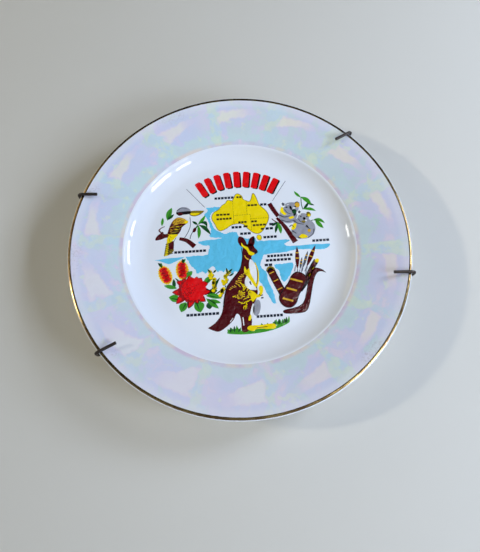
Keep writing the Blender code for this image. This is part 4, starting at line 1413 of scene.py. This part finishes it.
def add_window(name, low_z, high_z):
    """One near window of 2 by 3 panes, on a plane to the viewer's right, square to the wall."""
    window_x, near_y, far_y = 0.55, -0.495, -0.237
    columns, rows = 2, 3
    bar = 0.024
    pane_width = (far_y - near_y) / columns - bar
    pane_height = (high_z - low_z) / rows - bar
    upright = VIEWER_AXES @ Matrix.Rotation(math.pi / 2, 4, "Y") @ Matrix.Rotation(math.pi / 2, 4, "Z")
    for column in range(columns):
        for row in range(rows):
            y = near_y + (column + 0.5) * (far_y - near_y) / columns
            z = low_z + (row + 0.5) * (high_z - low_z) / rows
            place = from_viewer((window_x, y, z))
            pane = add_area_light(f"{name}_{column}_{row}", place, from_viewer((0, y, z)), pane_width, 0.71,
                                  (0.67, 0.79, 1.045), pane_height)
            pane.matrix_world = Matrix.Translation(place) @ upright


def add_glint(name, start, end, width, power):
    """A distant bright strip that only shows as a reflection, from start to end for the viewer."""
    start, end = from_viewer(start), from_viewer(end)
    place = (start + end) / 2
    light = add_area_light(name, place, from_viewer((0, 0, 0)), (end - start).length, power,
                           (1.0, 0.99, 0.97), width)
    outward = (place - from_viewer((0, 0, 0))).normalized()
    across = outward.cross(end - start).normalized()
    along = across.cross(outward)
    light.matrix_world = Matrix.Translation(place) @ Matrix((along, across, outward)).transposed().to_4x4()
    light.visible_diffuse = False


def add_lights():
    middle = from_viewer((0, 0, 0))
    for glint in GLINTS:
        add_glint(*glint)
    left_way = Vector((-0.85, -0.51, 0.05)).normalized()
    add_area_light("left_light", from_viewer(left_way * 4.0), middle, 0.25, 42.0, (1.0, 0.97, 0.86))
    add_area_light("warm_light", from_viewer((-1.0, -0.6, 0.7)), middle, 0.7, 1.8, (1.0, 0.85, 0.55))
    add_area_light("front_fill", from_viewer((0.2, -1.5, 0.1)), middle, 1.0, 1.4, (0.80, 0.90, 1.0))
    add_window("upper_window", 0.09, 0.34)
    add_window("lower_window", -0.46, -0.14)
    add_area_light("back_light", Vector((-0.6, 1.2, 0.5)), middle, 0.8, 3.5, (1.0, 0.98, 0.95))

    world = bpy.data.worlds.new("dim_room")
    bpy.context.scene.world = world
    world.use_nodes = True
    background = world.node_tree.nodes["Background"]
    background.inputs["Color"].default_value = (0.90, 0.95, 1.0, 1.0)
    background.inputs["Strength"].default_value = ROOM_GLOW
    bpy.context.scene.view_settings.view_transform = "Standard"


def add_camera():
    data = bpy.data.cameras.new("camera")
    data.sensor_fit = "AUTO"
    data.sensor_width = SENSOR_LONG_SIDE
    data.lens = CAMERA_LENS
    data.clip_start = 0.01
    data.clip_end = 20.0
    camera = bpy.data.objects.new("camera", data)
    bpy.context.scene.collection.objects.link(camera)
    aim = Matrix.Rotation(-CAMERA_YAW, 4, "Z") @ Matrix.Rotation(math.pi / 2 + CAMERA_PITCH, 4, "X")
    camera.matrix_world = (Matrix.Translation(PLATE_CENTRE) @ VIEWER_AXES
                           @ Matrix.Translation(CAMERA_PLACE) @ aim)
    bpy.context.scene.camera = camera


add_camera()
add_stage()
add_lights()
add_plate()
add_hanger()
add_printed_picture()
